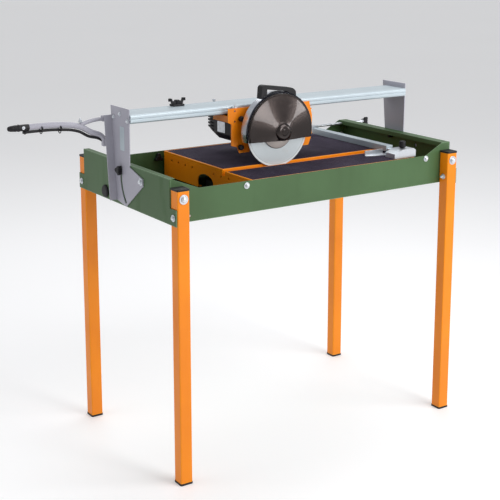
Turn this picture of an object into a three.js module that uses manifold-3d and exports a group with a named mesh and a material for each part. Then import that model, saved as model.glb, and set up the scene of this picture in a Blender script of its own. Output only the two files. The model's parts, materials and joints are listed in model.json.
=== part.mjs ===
// A bridge-type wet tile cutter: a water tank on four legs, a lift-out table with rubber mats,
// and a tilting bridge whose rail carries a motor head with a guarded diamond blade.
// Units are millimetres. X runs along the machine, Y to the back and Z up from the floor.
import * as THREE from "three";
import { mergeVertices } from "three/addons/utils/BufferGeometryUtils.js";
import Module from "manifold-3d";

const wasm = await Module();
wasm.setup();

// ---- Driving dimensions ----

const GAP = 0.3; // clearance between pieces that touch
const RUN = 0.4; // clearance round a turning pin

const leg = { side: 40, wall: 2, tube: 900, cap: 6, rim: 1.2, pitchX: 1037, pitchY: 605 };
const tank = { sheet: 2.5, hang: 104, height: 98, raised: 135, slantLow: 97, slantHigh: 31 };
const rim = { left: 16, right: 30, lip: 15, ends: 2 };
const legTab = { height: 50, inset: 3, bolt: 24 };
const legBolt = { shank: 4, washer: 15, head: 9, tall: 9, below: 24 };
const drain = { y: 447, up: 24, radius: 20, bore: 12, proud: 8 };

const table = { left: 285, length: 648, stand: 99.5, gapFront: 5, gapBack: 20, sheet: 2.5, border: 6 };
const mat = { thick: 5, proud: 1, step: 4.5 };
const slot = { y: 206, width: 14 };
const skirt = { depth: 20 };
const side = { sheet: 3, foot: 15, holes: 9, holePitch: 44.3, holeRadius: 4, holeDrop: 26, holeEnd: 53 };
const arch = { y: 316, width: 94, height: 49 };
const pump = { length: 96, width: 74, height: 52, outlet: 8 };

const blade = { radius: 115, thick: 2.4, bore: 9.7, dip: 12 };
const flange = { radius: 57, thick: 6, hub: 20 };
const arbor = { radius: 12.5, nut: 17, nutTall: 12 };

const pivot = { behind: 2, below: 5, pin: 6, head: 11, headTall: 8 };
const rail = { behind: 64, width: 106, over: 57, height: 27, wall: 3, nose: 5 };
const upright = { sheet: 3, flange: 28, over: 44, flangeOver: 14, arc: 128, arcSlot: 11, lean: 20 };
const tilt = { lock: 6.4, range: 45, pin: 5 };

const head = { inset: 43, arbor: 160, width: 327, under: 124, over: 21, plate: 4, shelf: 4 };
const roller = { radius: 9.4, height: 22, pin: 3.5, inset: 34 };
const motor = { width: 172, under: 52, tall: 99, length: 190, cover: 66, coverTaper: 13 };
const guard = { room: 12, wall: 2, ahead: 16, behind: 18, boss: 46, chordUnder: 27, dome: 22, hub: 24 };
const grip = { length: 138, depth: 26, over: 26, slope: 20, thick: 13, opening: 78, round: 22, root: 34 };
const box = { depth: 34, width: 74, tall: 60, button: 9, press: 4, well: 14 };

const fence = { inset: 37, width: 28, tall: 20, endGap: 19 };
const fenceRod = { radius: 5, up: 22, behind: 5, out: 72 };
const block = { inset: 83, length: 90, gapFront: 7, width: 48, tall: 28, fenceGap: 50 };
const angleStop = { length: 98, width: 46, sheet: 3, lip: 18, nose: 11 };
const clampKnob = { radius: 16, tall: 14, lobes: 3, stem: 4 };
const arm = { under: 4, radius: 9, reach: 330, bend: 88, footUnder: 76, cable: 4.5 };
const railClamp = { x: 210, plate: 6, half: 20 };

// ---- Placing and shaping ----

const X = new THREE.Vector3(1, 0, 0);
const Y = new THREE.Vector3(0, 1, 0);
const Z = new THREE.Vector3(0, 0, 1);
const LENGTH = leg.pitchX + leg.side;
const DEPTH = leg.pitchY + leg.side;
const legTop = leg.cap + leg.tube;
const wallIn = leg.side + GAP; // the tank's outer face, just inside the legs
const wallOut = DEPTH - wallIn;
const tankBottom = legTop - tank.hang;
const tankTop = tankBottom + tank.height;
const tankRaised = tankBottom + tank.raised;
const floorTop = tankBottom + tank.sheet;
const outside = tank.sheet + GAP + 0.2; // how far an end wall stands outside the legs
const tableRight = table.left + table.length;
const tableFront = leg.side + table.gapFront;
const tableBack = DEPTH - leg.side - table.gapBack;
const tableTop = floorTop + table.stand;
const headX = table.left + head.inset;
const bladeX = headX + head.arbor;
const bladeZ = tableTop + blade.radius - blade.dip;
const railBottom = bladeZ + rail.over;
const railTop = railBottom + rail.height;
const railFront = slot.y + rail.behind;
const railBack = railFront + rail.width;
const railMid = railFront + rail.width / 2;
const pivotY = slot.y + pivot.behind;
const pivotZ = tableTop - pivot.below;
const uprightTop = railBottom + upright.over;
const flangeTopZ = railBottom + upright.flangeOver;
const headTop = railBottom + head.over;
const headLow = railBottom - head.under;
const motorLow = bladeZ - motor.under;
const guardRadius = blade.radius + guard.room;
const guardFront = slot.y - guard.ahead;
const guardChord = bladeZ - guard.chordUnder;
const gripTop = bladeZ + guardRadius + grip.over;
const blockX = tableRight - block.inset;
const blockFront = tableFront + block.gapFront;
const blockBack = blockFront + block.width;
const fenceX = tableRight - fence.inset;
const fenceFront = blockBack + block.fenceGap;
const fenceBack = tableBack - fence.endGap;
const rodY = tableBack + fenceRod.behind;
const rodZ = tableTop + fenceRod.up;
const armZ = railBottom - arm.under;
const armLow = railBottom - arm.footUnder;

const finishes = {
  orange: { color: 0xf29a08, roughness: 0.42, metalness: 0.1 },
  green: { color: 0x4b6a4c, roughness: 0.5, metalness: 0.15 },
  grey: { color: 0xa9abb6, roughness: 0.45, metalness: 0.35 },
  aluminium: { color: 0xc4ccd0, roughness: 0.35, metalness: 0.8 },
  steel: { color: 0xb9bfc4, roughness: 0.3, metalness: 0.9 },
  rubber: { color: 0x3d3744, roughness: 0.9, metalness: 0 },
  plastic: { color: 0x141416, roughness: 0.45, metalness: 0 },
  red: { color: 0xc01818, roughness: 0.4, metalness: 0 },
  start: { color: 0x1f8a3c, roughness: 0.4, metalness: 0 },
};

/** A closed manifold from a three.js geometry. */
function solid(geometry) {
  const bare = geometry.clone();
  bare.deleteAttribute("normal");
  bare.deleteAttribute("uv");
  const merged = mergeVertices(bare, 1e-4);
  const vertProperties = new Float32Array(merged.attributes.position.array);
  const corners = merged.index.array;
  const kept = [];
  for (let i = 0; i < corners.length; i += 3) {
    const [a, b, c] = corners.slice(i, i + 3);
    if (a !== b && b !== c && c !== a) kept.push(a, b, c);
  }
  return new wasm.Manifold(new wasm.Mesh({ numProp: 3, vertProperties, triVerts: new Uint32Array(kept) }));
}

/** A three.js geometry from a manifold. */
function surface(body) {
  const mesh = body.getMesh();
  const geometry = new THREE.BufferGeometry();
  geometry.setAttribute("position", new THREE.BufferAttribute(new Float32Array(mesh.vertProperties), 3));
  geometry.setIndex(new THREE.BufferAttribute(new Uint32Array(mesh.triVerts), 1));
  geometry.computeVertexNormals();
  return geometry;
}

/** Several solids joined into one. */
function join(...bodies) {
  return bodies.reduce((whole, next) => whole.add(next));
}

/** A solid with others cut out of it. */
function cut(body, ...tools) {
  return tools.reduce((rest, tool) => rest.subtract(tool), body);
}

/** A block from its lowest to its highest corner. */
function block3(low, high) {
  const size = high.map((value, i) => value - low[i]);
  const geometry = new THREE.BoxGeometry(...size);
  geometry.translate(...low.map((value, i) => value + size[i] / 2));
  return solid(geometry);
}

/** A round bar between two points, or a taper where the end radius differs. */
function bar(from, to, radius, sides = 24, endRadius = radius) {
  const start = new THREE.Vector3(...from);
  const run = new THREE.Vector3(...to).sub(start);
  const geometry = new THREE.CylinderGeometry(endRadius, radius, run.length(), sides);
  geometry.translate(0, run.length() / 2, 0);
  geometry.applyQuaternion(new THREE.Quaternion().setFromUnitVectors(Y, run.clone().normalize()));
  geometry.translate(...from);
  return solid(geometry);
}

/** A turned shape: [radius, height] points that start and end on the axis, stood on a point. */
function turned(points, at, along = Z, sides = 32) {
  const profile = points.map(([radius, height]) => new THREE.Vector2(radius, height));
  const geometry = new THREE.LatheGeometry(profile, sides);
  geometry.applyQuaternion(new THREE.Quaternion().setFromUnitVectors(Y, along));
  geometry.translate(...at);
  return solid(geometry);
}

/** A flat outline from corner points. */
function outline(points) {
  return new THREE.Shape(points.map(([a, b]) => new THREE.Vector2(a, b)));
}

/** A sheet whose outline lies in (Y, Z), from one X to another. */
function sheetX(shape, from, to, curveSegments = 12) {
  const geometry = new THREE.ExtrudeGeometry(shape, { depth: to - from, bevelEnabled: false, curveSegments });
  geometry.applyMatrix4(new THREE.Matrix4().makeBasis(Y, Z, X));
  geometry.translate(from, 0, 0);
  return solid(geometry);
}

/** A sheet whose outline lies in (X, Z), from one Y to another. */
function sheetY(shape, from, to, curveSegments = 12) {
  const geometry = new THREE.ExtrudeGeometry(shape, { depth: to - from, bevelEnabled: false, curveSegments });
  geometry.applyMatrix4(new THREE.Matrix4().makeBasis(X, Z, Y.clone().negate()));
  geometry.translate(0, to, 0);
  return solid(geometry);
}

/** A sheet whose outline lies in (X, Y), from one Z to another. */
function sheetZ(shape, from, to, curveSegments = 12) {
  const geometry = new THREE.ExtrudeGeometry(shape, { depth: to - from, bevelEnabled: false, curveSegments });
  geometry.translate(0, 0, from);
  return solid(geometry);
}

/** A tube or cable swept along a smooth curve through some points. */
function swept(points, radius, sides = 10, steps = 40) {
  const path = new THREE.CatmullRomCurve3(points.map((point) => new THREE.Vector3(...point)));
  const section = new THREE.Shape().absarc(0, 0, radius, 0, Math.PI * 2);
  const options = { extrudePath: path, steps, bevelEnabled: false, curveSegments: sides / 2 };
  return solid(new THREE.ExtrudeGeometry(section, options));
}

/** A lobed clamp knob standing on a point, with its lobes round a hub. */
function lobedKnob(at, along, size = clampKnob) {
  const hub = [[0, 0], [size.radius * 0.55, 0], [size.radius * 0.62, size.tall], [0, size.tall]];
  const lobe = size.radius * 0.36;
  const turn = new THREE.Quaternion().setFromUnitVectors(Z, along);
  const parts = [turned(hub, at, along, 18)];
  for (let i = 0; i < size.lobes; i += 1) {
    const angle = (i / size.lobes) * Math.PI * 2 + Math.PI / 2;
    const reach = size.radius - lobe;
    const foot = new THREE.Vector3(Math.cos(angle) * reach, Math.sin(angle) * reach, 2).applyQuaternion(turn);
    const start = foot.clone().add(new THREE.Vector3(...at));
    const end = start.clone().addScaledVector(along, size.tall - 2);
    parts.push(bar(start.toArray(), end.toArray(), lobe, 14));
  }
  return join(...parts);
}

const machine = new THREE.Group();
machine.name = "tile_cutter";

/** Adds one named piece with its own material. */
function add(name, body, finish) {
  const mesh = new THREE.Mesh(surface(body), new THREE.MeshStandardMaterial(finishes[finish]));
  mesh.name = name;
  machine.add(mesh);
}

// ---- Stand: four legs with black end feet and the bolts that hold the tank ----

/** A bolt's shank, washer and domed head, standing on a face. grip is how far the head stands off the leg. */
function boltHead(at, along, grip) {
  const profile = [
    [0, -leg.wall / 2], [legBolt.shank, -leg.wall / 2], [legBolt.shank, grip], [legBolt.washer, grip],
    [legBolt.washer, grip + 2], [legBolt.head, grip + 2], [legBolt.head - 1, grip + legBolt.tall - 3],
    [0, grip + legBolt.tall],
  ];
  return turned(profile, at, along, 18);
}

for (const [row, y] of [["front", 0], ["back", leg.pitchY]]) {
  for (const [column, x] of [["left", 0], ["right", leg.pitchX]]) {
    const inset = leg.wall;
    const [insideX, insideY] = [x + leg.side - inset, y + leg.side - inset];
    const tube = block3([x, y, leg.cap], [x + leg.side, y + leg.side, legTop]);
    const hollow = block3([x + inset, y + inset, 0], [insideX, insideY, legTop + 1]);
    const outY = Y.clone().multiplyScalar(row === "front" ? -1 : 1);
    const outX = X.clone().multiplyScalar(column === "left" ? -1 : 1);
    const faceY = row === "front" ? 0 : DEPTH;
    const faceX = column === "left" ? 0 : LENGTH;
    const upper = boltHead([x + leg.side / 2, faceY, legTop - legBolt.below], outY, 0);
    const lower = boltHead([faceX, y + leg.side / 2, tankBottom + legTab.bolt], outX, outside + GAP);
    add(`leg_${row}_${column}`, join(cut(tube, hollow), upper, lower), "orange");
    const plug = leg.wall + GAP;
    const foot = join(
      block3([x - leg.rim, y - leg.rim, 0], [x + leg.side + leg.rim, y + leg.side + leg.rim, leg.cap - GAP]),
      block3([x + plug, y + plug, 0], [x + leg.side - plug, y + leg.side - plug, leg.cap + 22]),
    );
    add(`foot_${row}_${column}`, foot, "plastic");
  }
}

// ---- Water tank: a floor and four walls of folded sheet ----

/** The outline of a long wall: low in the middle, raised at both ends. */
function longWall() {
  const ends = [-GAP, LENGTH + GAP];
  return outline([
    [ends[0], tankBottom],
    [ends[1], tankBottom],
    [ends[1], tankRaised],
    [LENGTH - tank.slantHigh, tankRaised],
    [LENGTH - tank.slantLow - 6, tankTop],
    [tank.slantLow, tankTop],
    [-GAP + rim.ends, tankRaised],
    [ends[0], tankRaised],
  ]);
}

/** An end wall with its folded rim and the tabs that lap the legs. dir is -1 on the left, 1 on the right. */
function endWall(dir) {
  const face = dir < 0 ? -outside : LENGTH + outside;
  const inner = face - dir * tank.sheet;
  const [low, high] = [Math.min(face, inner), Math.max(face, inner)];
  const tabTop = tankBottom + legTab.height;
  const sheet = join(
    block3([low, wallIn, tankBottom], [high, wallOut, tankRaised]),
    block3([low, legTab.inset, tankBottom], [high, DEPTH - legTab.inset, tabTop]),
  );
  const reach = dir < 0 ? rim.left : rim.right;
  const edge = inner - dir * reach;
  const [rimLow, rimHigh] = [Math.min(inner, edge), Math.max(inner, edge)];
  const front = wallIn + tank.sheet + GAP;
  const back = wallOut - tank.sheet - GAP;
  const flat = block3([rimLow - 0.1, front, tankRaised - tank.sheet], [rimHigh + 0.1, back, tankRaised]);
  if (dir < 0) return join(sheet, flat);
  const lip = block3([edge, front, tankRaised - rim.lip], [edge + tank.sheet, back, tankRaised]);
  return join(sheet, flat, lip);
}

const inFront = wallIn + tank.sheet;
const inBack = wallOut - tank.sheet;
add("tank_front_wall", sheetY(longWall(), wallIn, inFront), "green");
add("tank_back_wall", sheetY(longWall(), inBack, wallOut), "green");
add("tank_floor", block3([0, inFront + GAP, tankBottom], [LENGTH, inBack - GAP, floorTop]), "green");

const pinHole = pivot.pin + RUN;
const lockAngle = THREE.MathUtils.degToRad(tilt.lock);
const lockY = pivotY + upright.arc * Math.cos(lockAngle);
const lockZ = pivotZ + upright.arc * Math.sin(lockAngle);
const drainZ = tankBottom + drain.up;
const rodHole = bar(
  [LENGTH - rim.right - 20, rodY, rodZ],
  [LENGTH + 20, rodY, rodZ],
  fenceRod.radius + RUN,
);

/** Holes through an end wall for the pivot pin, the tilt lock's stud and the two leg bolts. */
function bridgeHoles(dir) {
  const x = dir < 0 ? 0 : LENGTH;
  const boltZ = tankBottom + legTab.bolt;
  const legBolts = [leg.side / 2, DEPTH - leg.side / 2].map((y) =>
    bar([x - 20, y, boltZ], [x + 20, y, boltZ], legBolt.shank + RUN, 16));
  return [
    ...legBolts,
    bar([x - 20, pivotY, pivotZ], [x + 20, pivotY, pivotZ], pinHole),
    bar([x - 20, lockY, lockZ], [x + 20, lockY, lockZ], tilt.pin + RUN),
  ];
}
const drainHole = bar([-20, drain.y, drainZ], [20, drain.y, drainZ], drain.bore + RUN);
add("tank_left_wall", cut(endWall(-1), ...bridgeHoles(-1), drainHole), "green");
add("tank_right_wall", cut(endWall(1), ...bridgeHoles(1), rodHole), "green");

const drainPlug = [
  [0, -12], [drain.bore, -12], [drain.bore, 3.5], [drain.radius, 3.5],
  [drain.radius, drain.proud], [drain.radius - 4, drain.proud + 3], [0, drain.proud + 3],
];
add("drain_plug", turned(drainPlug, [0, drain.y, drainZ], X.clone().negate(), 28), "plastic");

// ---- Table: two trays with rubber mats on perforated side plates ----

const trayTop = tableTop - mat.proud;
const trayLow = trayTop - table.sheet - mat.thick + mat.proud;
const slotFront = slot.y - slot.width / 2;
const slotBack = slot.y + slot.width / 2;
const frontTop = tableTop - mat.step;

/** A shallow tray with a rim round its mat and skirts folded down along its long edges. */
function tray(y0, y1, top) {
  const low = top - mat.thick - table.sheet;
  const body = block3([table.left, y0, low], [tableRight, y1, top - mat.proud]);
  const well = block3(
    [table.left + table.border, y0 + table.border, low + table.sheet],
    [tableRight - table.border, y1 - table.border, top + 1],
  );
  const skirts = [y0, y1 - table.sheet].map((y) =>
    block3(
      [table.left + side.sheet + 1, y, low - skirt.depth],
      [tableRight - side.sheet - 1, y + table.sheet, low + 1],
    ),
  );
  return join(cut(body, well), ...skirts);
}

/** A rubber mat that drops into a tray's rim. */
function matIn(y0, y1, top) {
  const edge = table.border + GAP;
  return block3(
    [table.left + edge, y0 + edge, top - mat.thick + GAP],
    [tableRight - edge, y1 - edge, top],
  );
}
add("table_main_tray", tray(slotBack, tableBack, tableTop), "orange");
add("table_front_tray", tray(tableFront, slotFront, frontTop), "orange");
add("mat_main", matIn(slotBack, tableBack, tableTop), "rubber");
add("mat_front", matIn(tableFront, slotFront, frontTop), "rubber");

/** A side plate of the table, with its row of holes, the arch and the notch under the blade slot. */
function tableSide(x, arched) {
  const top = trayLow - GAP;
  const frontTrayLow = frontTop - mat.thick - table.sheet - GAP;
  const low = floorTop + side.foot;
  const shape = outline([
    [tableFront + 2, low], [tableBack - 2, low], [tableBack - 2, top], [slotBack, top],
    [slotBack, top - 12], [slotFront, top - 12], [slotFront, frontTrayLow], [tableFront + 2, frontTrayLow],
  ]);
  for (let i = 0; i < side.holes; i += 1) {
    const y = tableBack - side.holeEnd - i * side.holePitch;
    const z = tableTop - side.holeDrop;
    const nearArch = arched && Math.abs(y - arch.y) < arch.width / 2 + side.holeRadius - 8;
    const nearSlot = Math.abs(y - slot.y) < slot.width / 2 + side.holeRadius + 2;
    if (nearArch || nearSlot) continue;
    shape.holes.push(new THREE.Path().absarc(y, z, side.holeRadius, 0, Math.PI * 2));
  }
  const plate = sheetX(shape, x, x + side.sheet, 7);
  const flangeX = arched ? x : x + side.sheet - side.foot;
  const flat = block3([flangeX, tableFront + 2, low], [flangeX + side.foot, tableBack - 2, low + side.sheet]);
  if (!arched) return join(plate, flat);
  const half = arch.width / 2;
  const crown = floorTop + side.foot + arch.height;
  const opening = join(
    block3([x - 2, arch.y - half, low - 1], [x + side.foot + 2, arch.y + half, crown - half * 0.5]),
    sheetX(
      new THREE.Shape().absellipse(arch.y, crown - half * 0.5, half, half * 0.5, 0, Math.PI * 2),
      x - 2, x + 20,
    ),
  );
  return cut(join(plate, flat), opening);
}
add("table_side_left", tableSide(table.left, true), "orange");
add("table_side_right", tableSide(tableRight - side.sheet, false), "orange");

const pumpX = table.left + side.foot + 9;
const pumpLow = floorTop + GAP;
const pumpTop = pumpLow + pump.height;
const pumpBody = join(
  block3(
    [pumpX, arch.y - pump.width / 2, pumpLow],
    [pumpX + pump.length, arch.y + pump.width / 2, pumpTop - 14],
  ),
  bar(
    [pumpX + pump.length / 2, arch.y, pumpTop - 15],
    [pumpX + pump.length / 2, arch.y, pumpTop],
    pump.width / 2 - 6, 28,
  ),
  bar([pumpX + 22, arch.y, pumpTop - 15], [pumpX + 22, arch.y, pumpTop + 10], pump.outlet, 16),
);
add("water_pump", pumpBody, "plastic");

// ---- Fence: a cross bar on the table, its guide rod and the front clamp block ----

const barLow = tableTop + GAP;
const barTop = barLow + fence.tall;
const barShape = outline([
  [fenceX, fenceFront], [fenceX + fence.width, fenceFront],
  [fenceX + fence.width, fenceBack], [fenceX, fenceBack],
]);
add("fence_bar", sheetZ(barShape, barLow, barTop), "aluminium");

const rodEnd = LENGTH + outside + fenceRod.out;
const lugLow = barLow + 2;
const rodSet = join(
  bar([fenceX + 6, rodY, rodZ], [rodEnd, rodY, rodZ], fenceRod.radius, 18),
  block3([fenceX + 1, fenceBack + GAP, lugLow], [fenceX + fence.width - 1, rodY + 4, rodZ + 6]),
);
add("fence_rod", rodSet, "steel");
add("fence_pull_knob", lobedKnob([rodEnd + GAP, rodY, rodZ], X), "plastic");

const blockLow = frontTop + GAP;
const blockTop = blockLow + block.tall;
const blockShape = outline([
  [blockX, blockLow], [blockX + block.length, blockLow], [blockX + block.length, blockTop - 6],
  [blockX + block.length - 8, blockTop], [blockX + 34, blockTop], [blockX, blockLow + 16],
]);
const blockKnobX = blockX + 52;
const blockKnobY = blockFront + block.width / 2;
const screwZ = blockLow + block.tall / 2;
const blockRight = blockX + block.length;
const tongueX = fenceX + 4;
const clampBlock = cut(
  join(
    sheetY(blockShape, blockFront, blockBack),
    block3([tongueX, blockBack - 1, blockLow], [tongueX + fence.width - 8, fenceFront - GAP, blockLow + 14]),
  ),
  bar(
    [blockKnobX, blockKnobY, blockTop - 14],
    [blockKnobX, blockKnobY, blockTop + 1],
    clampKnob.stem + RUN, 20,
  ),
  bar([blockRight - 16, blockKnobY, screwZ], [blockRight + 1, blockKnobY, screwZ], clampKnob.stem + RUN, 20),
);
add("fence_clamp_block", clampBlock, "steel");

/** A plain ribbed thumb knob with its screw, standing on a point. */
function thumbKnob(at, along, radius, tall, stem = 12) {
  const profile = [
    [0, -stem], [clampKnob.stem, -stem], [clampKnob.stem, 1], [radius * 0.7, 1],
    [radius, 4], [radius, tall - 3], [radius - 2.5, tall], [0, tall],
  ];
  return turned(profile, at, along, 20);
}
add("fence_block_knob", thumbKnob([blockKnobX, blockKnobY, blockTop], Z, 11, 24), "plastic");
add("fence_end_screw", thumbKnob([blockRight, blockKnobY, screwZ], X, 9, 18), "plastic");

const stopHinge = [fenceX - 8, blockBack + 22];
const stopTip = stopHinge[0] - angleStop.length + 8;
const stopBack = stopHinge[1] + angleStop.width / 2;
const stopShape = new THREE.Shape();
stopShape.moveTo(stopHinge[0] - 14, stopBack);
stopShape.lineTo(stopTip, stopBack);
stopShape.lineTo(stopTip, stopBack - 8);
stopShape.absarc(...stopHinge, angleStop.nose, Math.PI * 1.3, Math.PI * 2.25, false);
const stopLow = frontTop + GAP;
const stopLip = block3(
  [stopTip, stopBack - angleStop.sheet, stopLow],
  [stopHinge[0] - 14, stopBack, stopLow + angleStop.lip],
);
add("angle_stop", join(sheetZ(stopShape, stopLow, stopLow + angleStop.sheet), stopLip), "steel");
add("angle_stop_knob", thumbKnob([...stopHinge, stopLow + angleStop.sheet + GAP], Z, 9, 12, 0), "plastic");

// ---- Bridge: two uprights that swing on the tank's ends, and the rail between them ----

const plateBack = railBack + upright.lean;

/** The side view of an upright, with the pivot hole and the arc slot for the tilt lock. */
function uprightOutline() {
  const shape = outline([
    [pivotY - 12, pivotZ - 13], [pivotY + 98, pivotZ - 96], [pivotY + 158, pivotZ - 84],
    [plateBack, uprightTop], [railFront + 5, uprightTop],
    [railFront + 8, pivotZ + 32], [pivotY - 12, pivotZ + 9],
  ]);
  shape.holes.push(new THREE.Path().absarc(pivotY, pivotZ, pinHole, 0, Math.PI * 2));
  const half = upright.arcSlot / 2;
  const high = lockAngle + 0.01;
  const low = lockAngle - THREE.MathUtils.degToRad(tilt.range) - 0.01;
  const slotPath = new THREE.Path();
  const centre = (angle) => [pivotY + upright.arc * Math.cos(angle), pivotZ + upright.arc * Math.sin(angle)];
  slotPath.absarc(pivotY, pivotZ, upright.arc + half, low, high, false);
  slotPath.absarc(...centre(high), half, high, high + Math.PI, false);
  slotPath.absarc(pivotY, pivotZ, upright.arc - half, high, low, true);
  slotPath.absarc(...centre(low), half, low + Math.PI, low + Math.PI * 2, false);
  shape.holes.push(slotPath);
  return shape;
}

/** Where the back edge of an upright lies at some height. */
function backEdge(z) {
  const [low, high] = [pivotZ - 84, uprightTop];
  return THREE.MathUtils.mapLinear(z, low, high, pivotY + 158, plateBack);
}

/** One upright. dir is -1 on the left, 1 on the right; its back edge folds outwards. */
function uprightPlate(dir) {
  const inner = (dir < 0 ? -outside : LENGTH + outside) + dir * GAP;
  const outer = inner + dir * upright.sheet;
  const flat = sheetX(uprightOutline(), Math.min(inner, outer), Math.max(inner, outer), 14);
  const foot = [pivotY + 158, pivotZ - 84];
  const flangeTopY = backEdge(flangeTopZ);
  const fold = outline([
    [foot[0] - upright.sheet, foot[1]], foot, [flangeTopY, flangeTopZ],
    [flangeTopY - upright.sheet, flangeTopZ],
  ]);
  const edge = outer + dir * (upright.flange - upright.sheet);
  const fin = sheetX(fold, Math.min(inner, edge), Math.max(inner, edge));
  return join(flat, fin);
}
add("upright_left", uprightPlate(-1), "grey");
add("upright_right", uprightPlate(1), "grey");

/** The rail's hollow section, with a rounded nose on its front edge. */
function railSection() {
  const shape = new THREE.Shape();
  shape.absarc(railFront + rail.nose, railTop - rail.nose, rail.nose, Math.PI / 2, Math.PI, false);
  shape.absarc(railFront + rail.nose, railBottom + rail.nose, rail.nose, Math.PI, Math.PI * 1.5, false);
  shape.lineTo(railBack, railBottom);
  shape.lineTo(railBack, railTop);
  return shape;
}
const railLeft = -outside;
const railRight = LENGTH + outside;
const bays = [
  [railFront + rail.wall + 2, railMid - rail.wall / 2],
  [railMid + rail.wall / 2, railBack - rail.wall],
].map(([from, to]) => block3(
  [railLeft - 1, from, railBottom + rail.wall],
  [railRight + 1, to, railTop - rail.wall],
));
add("rail", cut(sheetX(railSection(), railLeft, railRight, 5), ...bays), "aluminium");

for (const [name, dir] of [["left", -1], ["right", 1]]) {
  const face = (dir < 0 ? -outside : LENGTH + outside) + dir * (GAP + upright.sheet);
  const along = X.clone().multiplyScalar(dir);
  const pin = [
    [0, -26], [pivot.pin, -26], [pivot.pin, GAP], [pivot.head, GAP],
    [pivot.head, GAP + 2], [pivot.head - 3, pivot.headTall], [0, pivot.headTall + 2],
  ];
  add(`pivot_bolt_${name}`, turned(pin, [face, pivotY, pivotZ], along, 24), "steel");
  const stud = [[0, -22], [tilt.pin, -22], [tilt.pin, GAP + 1], [0, GAP + 1]];
  const knob = lobedKnob([face + dir * GAP, lockY, lockZ], along);
  add(`tilt_knob_${name}`, join(knob, turned(stud, [face, lockY, lockZ], along, 18)), "plastic");
}

// ---- Cable arm: a bent tube braced to the left upright, with the supply cable under it ----

const armY = plateBack + arm.radius + 8;
const armX = -outside - GAP - upright.sheet - GAP - arm.radius - 2;
const armRoute = [
  [armX, armY, armLow], [armX - 14, armY, armLow + 22], [armX - arm.bend * 0.55, armY, armZ - 34],
  [armX - arm.bend, armY, armZ - 13], [armX - arm.bend * 1.8, armY, armZ - 2],
  [armX - 210, armY, armZ], [-arm.reach + 34, armY, armZ],
];
const braceRoute = [
  [armX + 2, armY, armZ + 4], [armX - 40, armY, armZ + 2], [armX - 84, armY, armZ - 8],
];
const armTube = join(swept(armRoute, arm.radius, 12, 34), swept(braceRoute, arm.radius - 3, 10, 10));
const flangeOut = -outside - GAP - upright.flange;
const armFoot = block3(
  [flangeOut + 2, backEdge(armLow + 8) + GAP, armLow - 10], [armX + arm.radius + 2, armY + 6, armLow + 8],
);
const armHead = block3(
  [flangeOut + 2, backEdge(armZ + 14) + GAP, armZ - 4], [armX + arm.radius + 2, armY + 6, armZ + 14],
);
add("cable_arm", join(armTube, armFoot, armHead), "grey");
const under = arm.radius + arm.cable + 1.8;
const cableRoute = armRoute.slice(1).map(([x, y, z], i) => (
  [x - (i < 3 ? 9 : 0), y - 2, z - under + (i < 1 ? 6 : 0)]
));
cableRoute[cableRoute.length - 1][0] = -arm.reach + 40;
add("supply_cable", swept(cableRoute, arm.cable, 8, 34), "plastic");
const plugProfile = [
  [0, 0], [5, 0], [7.5, 3], [arm.radius + 2, 34], [arm.radius + 1, 38], [arm.radius + 1, 66],
  [arm.radius + 0.4, 66], [arm.radius + 0.4, 39], [0, 39],
];
add("inlet_plug", turned(plugProfile, [-arm.reach - 6, armY, armZ], X, 22), "plastic");

// ---- Rail clamp behind the rail, with its wing knob ----

const clampY = railBack - 14;
const clampLow = railTop + GAP;
add("rail_clamp", block3(
  [railClamp.x - railClamp.half, clampY - 14, clampLow],
  [railClamp.x + railClamp.half, railBack - 1, clampLow + railClamp.plate],
), "plastic");
const wing = new THREE.Shape();
wing.absellipse(railClamp.x - 18, clampY, 13, 6, Math.PI / 2, Math.PI * 1.5);
wing.absellipse(railClamp.x + 18, clampY, 13, 6, -Math.PI / 2, Math.PI / 2);
const wingLow = clampLow + railClamp.plate + GAP;
add("rail_clamp_knob", join(
  sheetZ(wing, wingLow, wingLow + 9, 8),
  bar([railClamp.x, clampY, wingLow], [railClamp.x, clampY, wingLow + 12], 9, 20),
), "plastic");

// ---- Head: carriage, rollers, motor, blade and guard ----

const headBack = railFront - roller.radius * 2 - 1.2;
const headFront = headBack - head.plate;
const headRight = headX + head.width;
const shelfTop = railBottom - 3;
const shelfLow = shelfTop - head.shelf;
const rollerFrontY = railFront - GAP - roller.radius;
const rollerBackY = railBack + GAP + roller.radius;
const shelfBack = rollerBackY + 10;
const columnLeft = headX + 12;
const rollerX = [headX + roller.inset, headRight - roller.inset];
const rollerPlaces = rollerX.flatMap((x) => [[x, rollerFrontY], [x, rollerBackY]]);

/** The carriage: a front plate bent into a column at the left, a shelf under the rail and roller pins. */
function carriage() {
  const front = outline([
    [headX, headTop], [headX, headTop - 44], [columnLeft, headTop - 50], [columnLeft, headLow + 26],
    [headX + 34, headLow + 20], [headX + 42, headLow], [headX + 78, headLow],
    [headX + 96, headLow + 30], [headRight - 70, headLow + 30], [headRight - 56, headLow],
    [headRight - 14, headLow], [headRight, headLow + 34],
    [headRight, headTop - 46], [headRight - 12, headTop],
  ]);
  front.holes.push(new THREE.Path().absarc(bladeX, bladeZ, arbor.radius + 8, 0, Math.PI * 2));
  for (const [x, z] of [[headX + 25, headTop - 9], [headX + 25, headTop - 42]]) {
    front.holes.push(new THREE.Path().absarc(x, z, 3.5, 0, Math.PI * 2));
  }
  const shelf = block3([headX, headBack - 1, shelfLow], [headRight, shelfBack, shelfTop]);
  const cheek = block3([headX, headBack - 1, shelfLow - 16], [headX + 3, railFront + 66, shelfTop]);
  const pins = rollerPlaces.map(([x, y]) =>
    bar([x, y, shelfTop - 1], [x, y, railBottom + roller.height + 8], roller.pin, 14));
  const caps = rollerPlaces.filter(([, y]) => y > railMid).map(([x, y]) =>
    bar([x, y, railBottom + roller.height + 6], [x, y, railBottom + roller.height + 11], 6, 6));
  return join(sheetY(front, headFront, headBack, 12), shelf, cheek, ...pins, ...caps);
}
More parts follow.
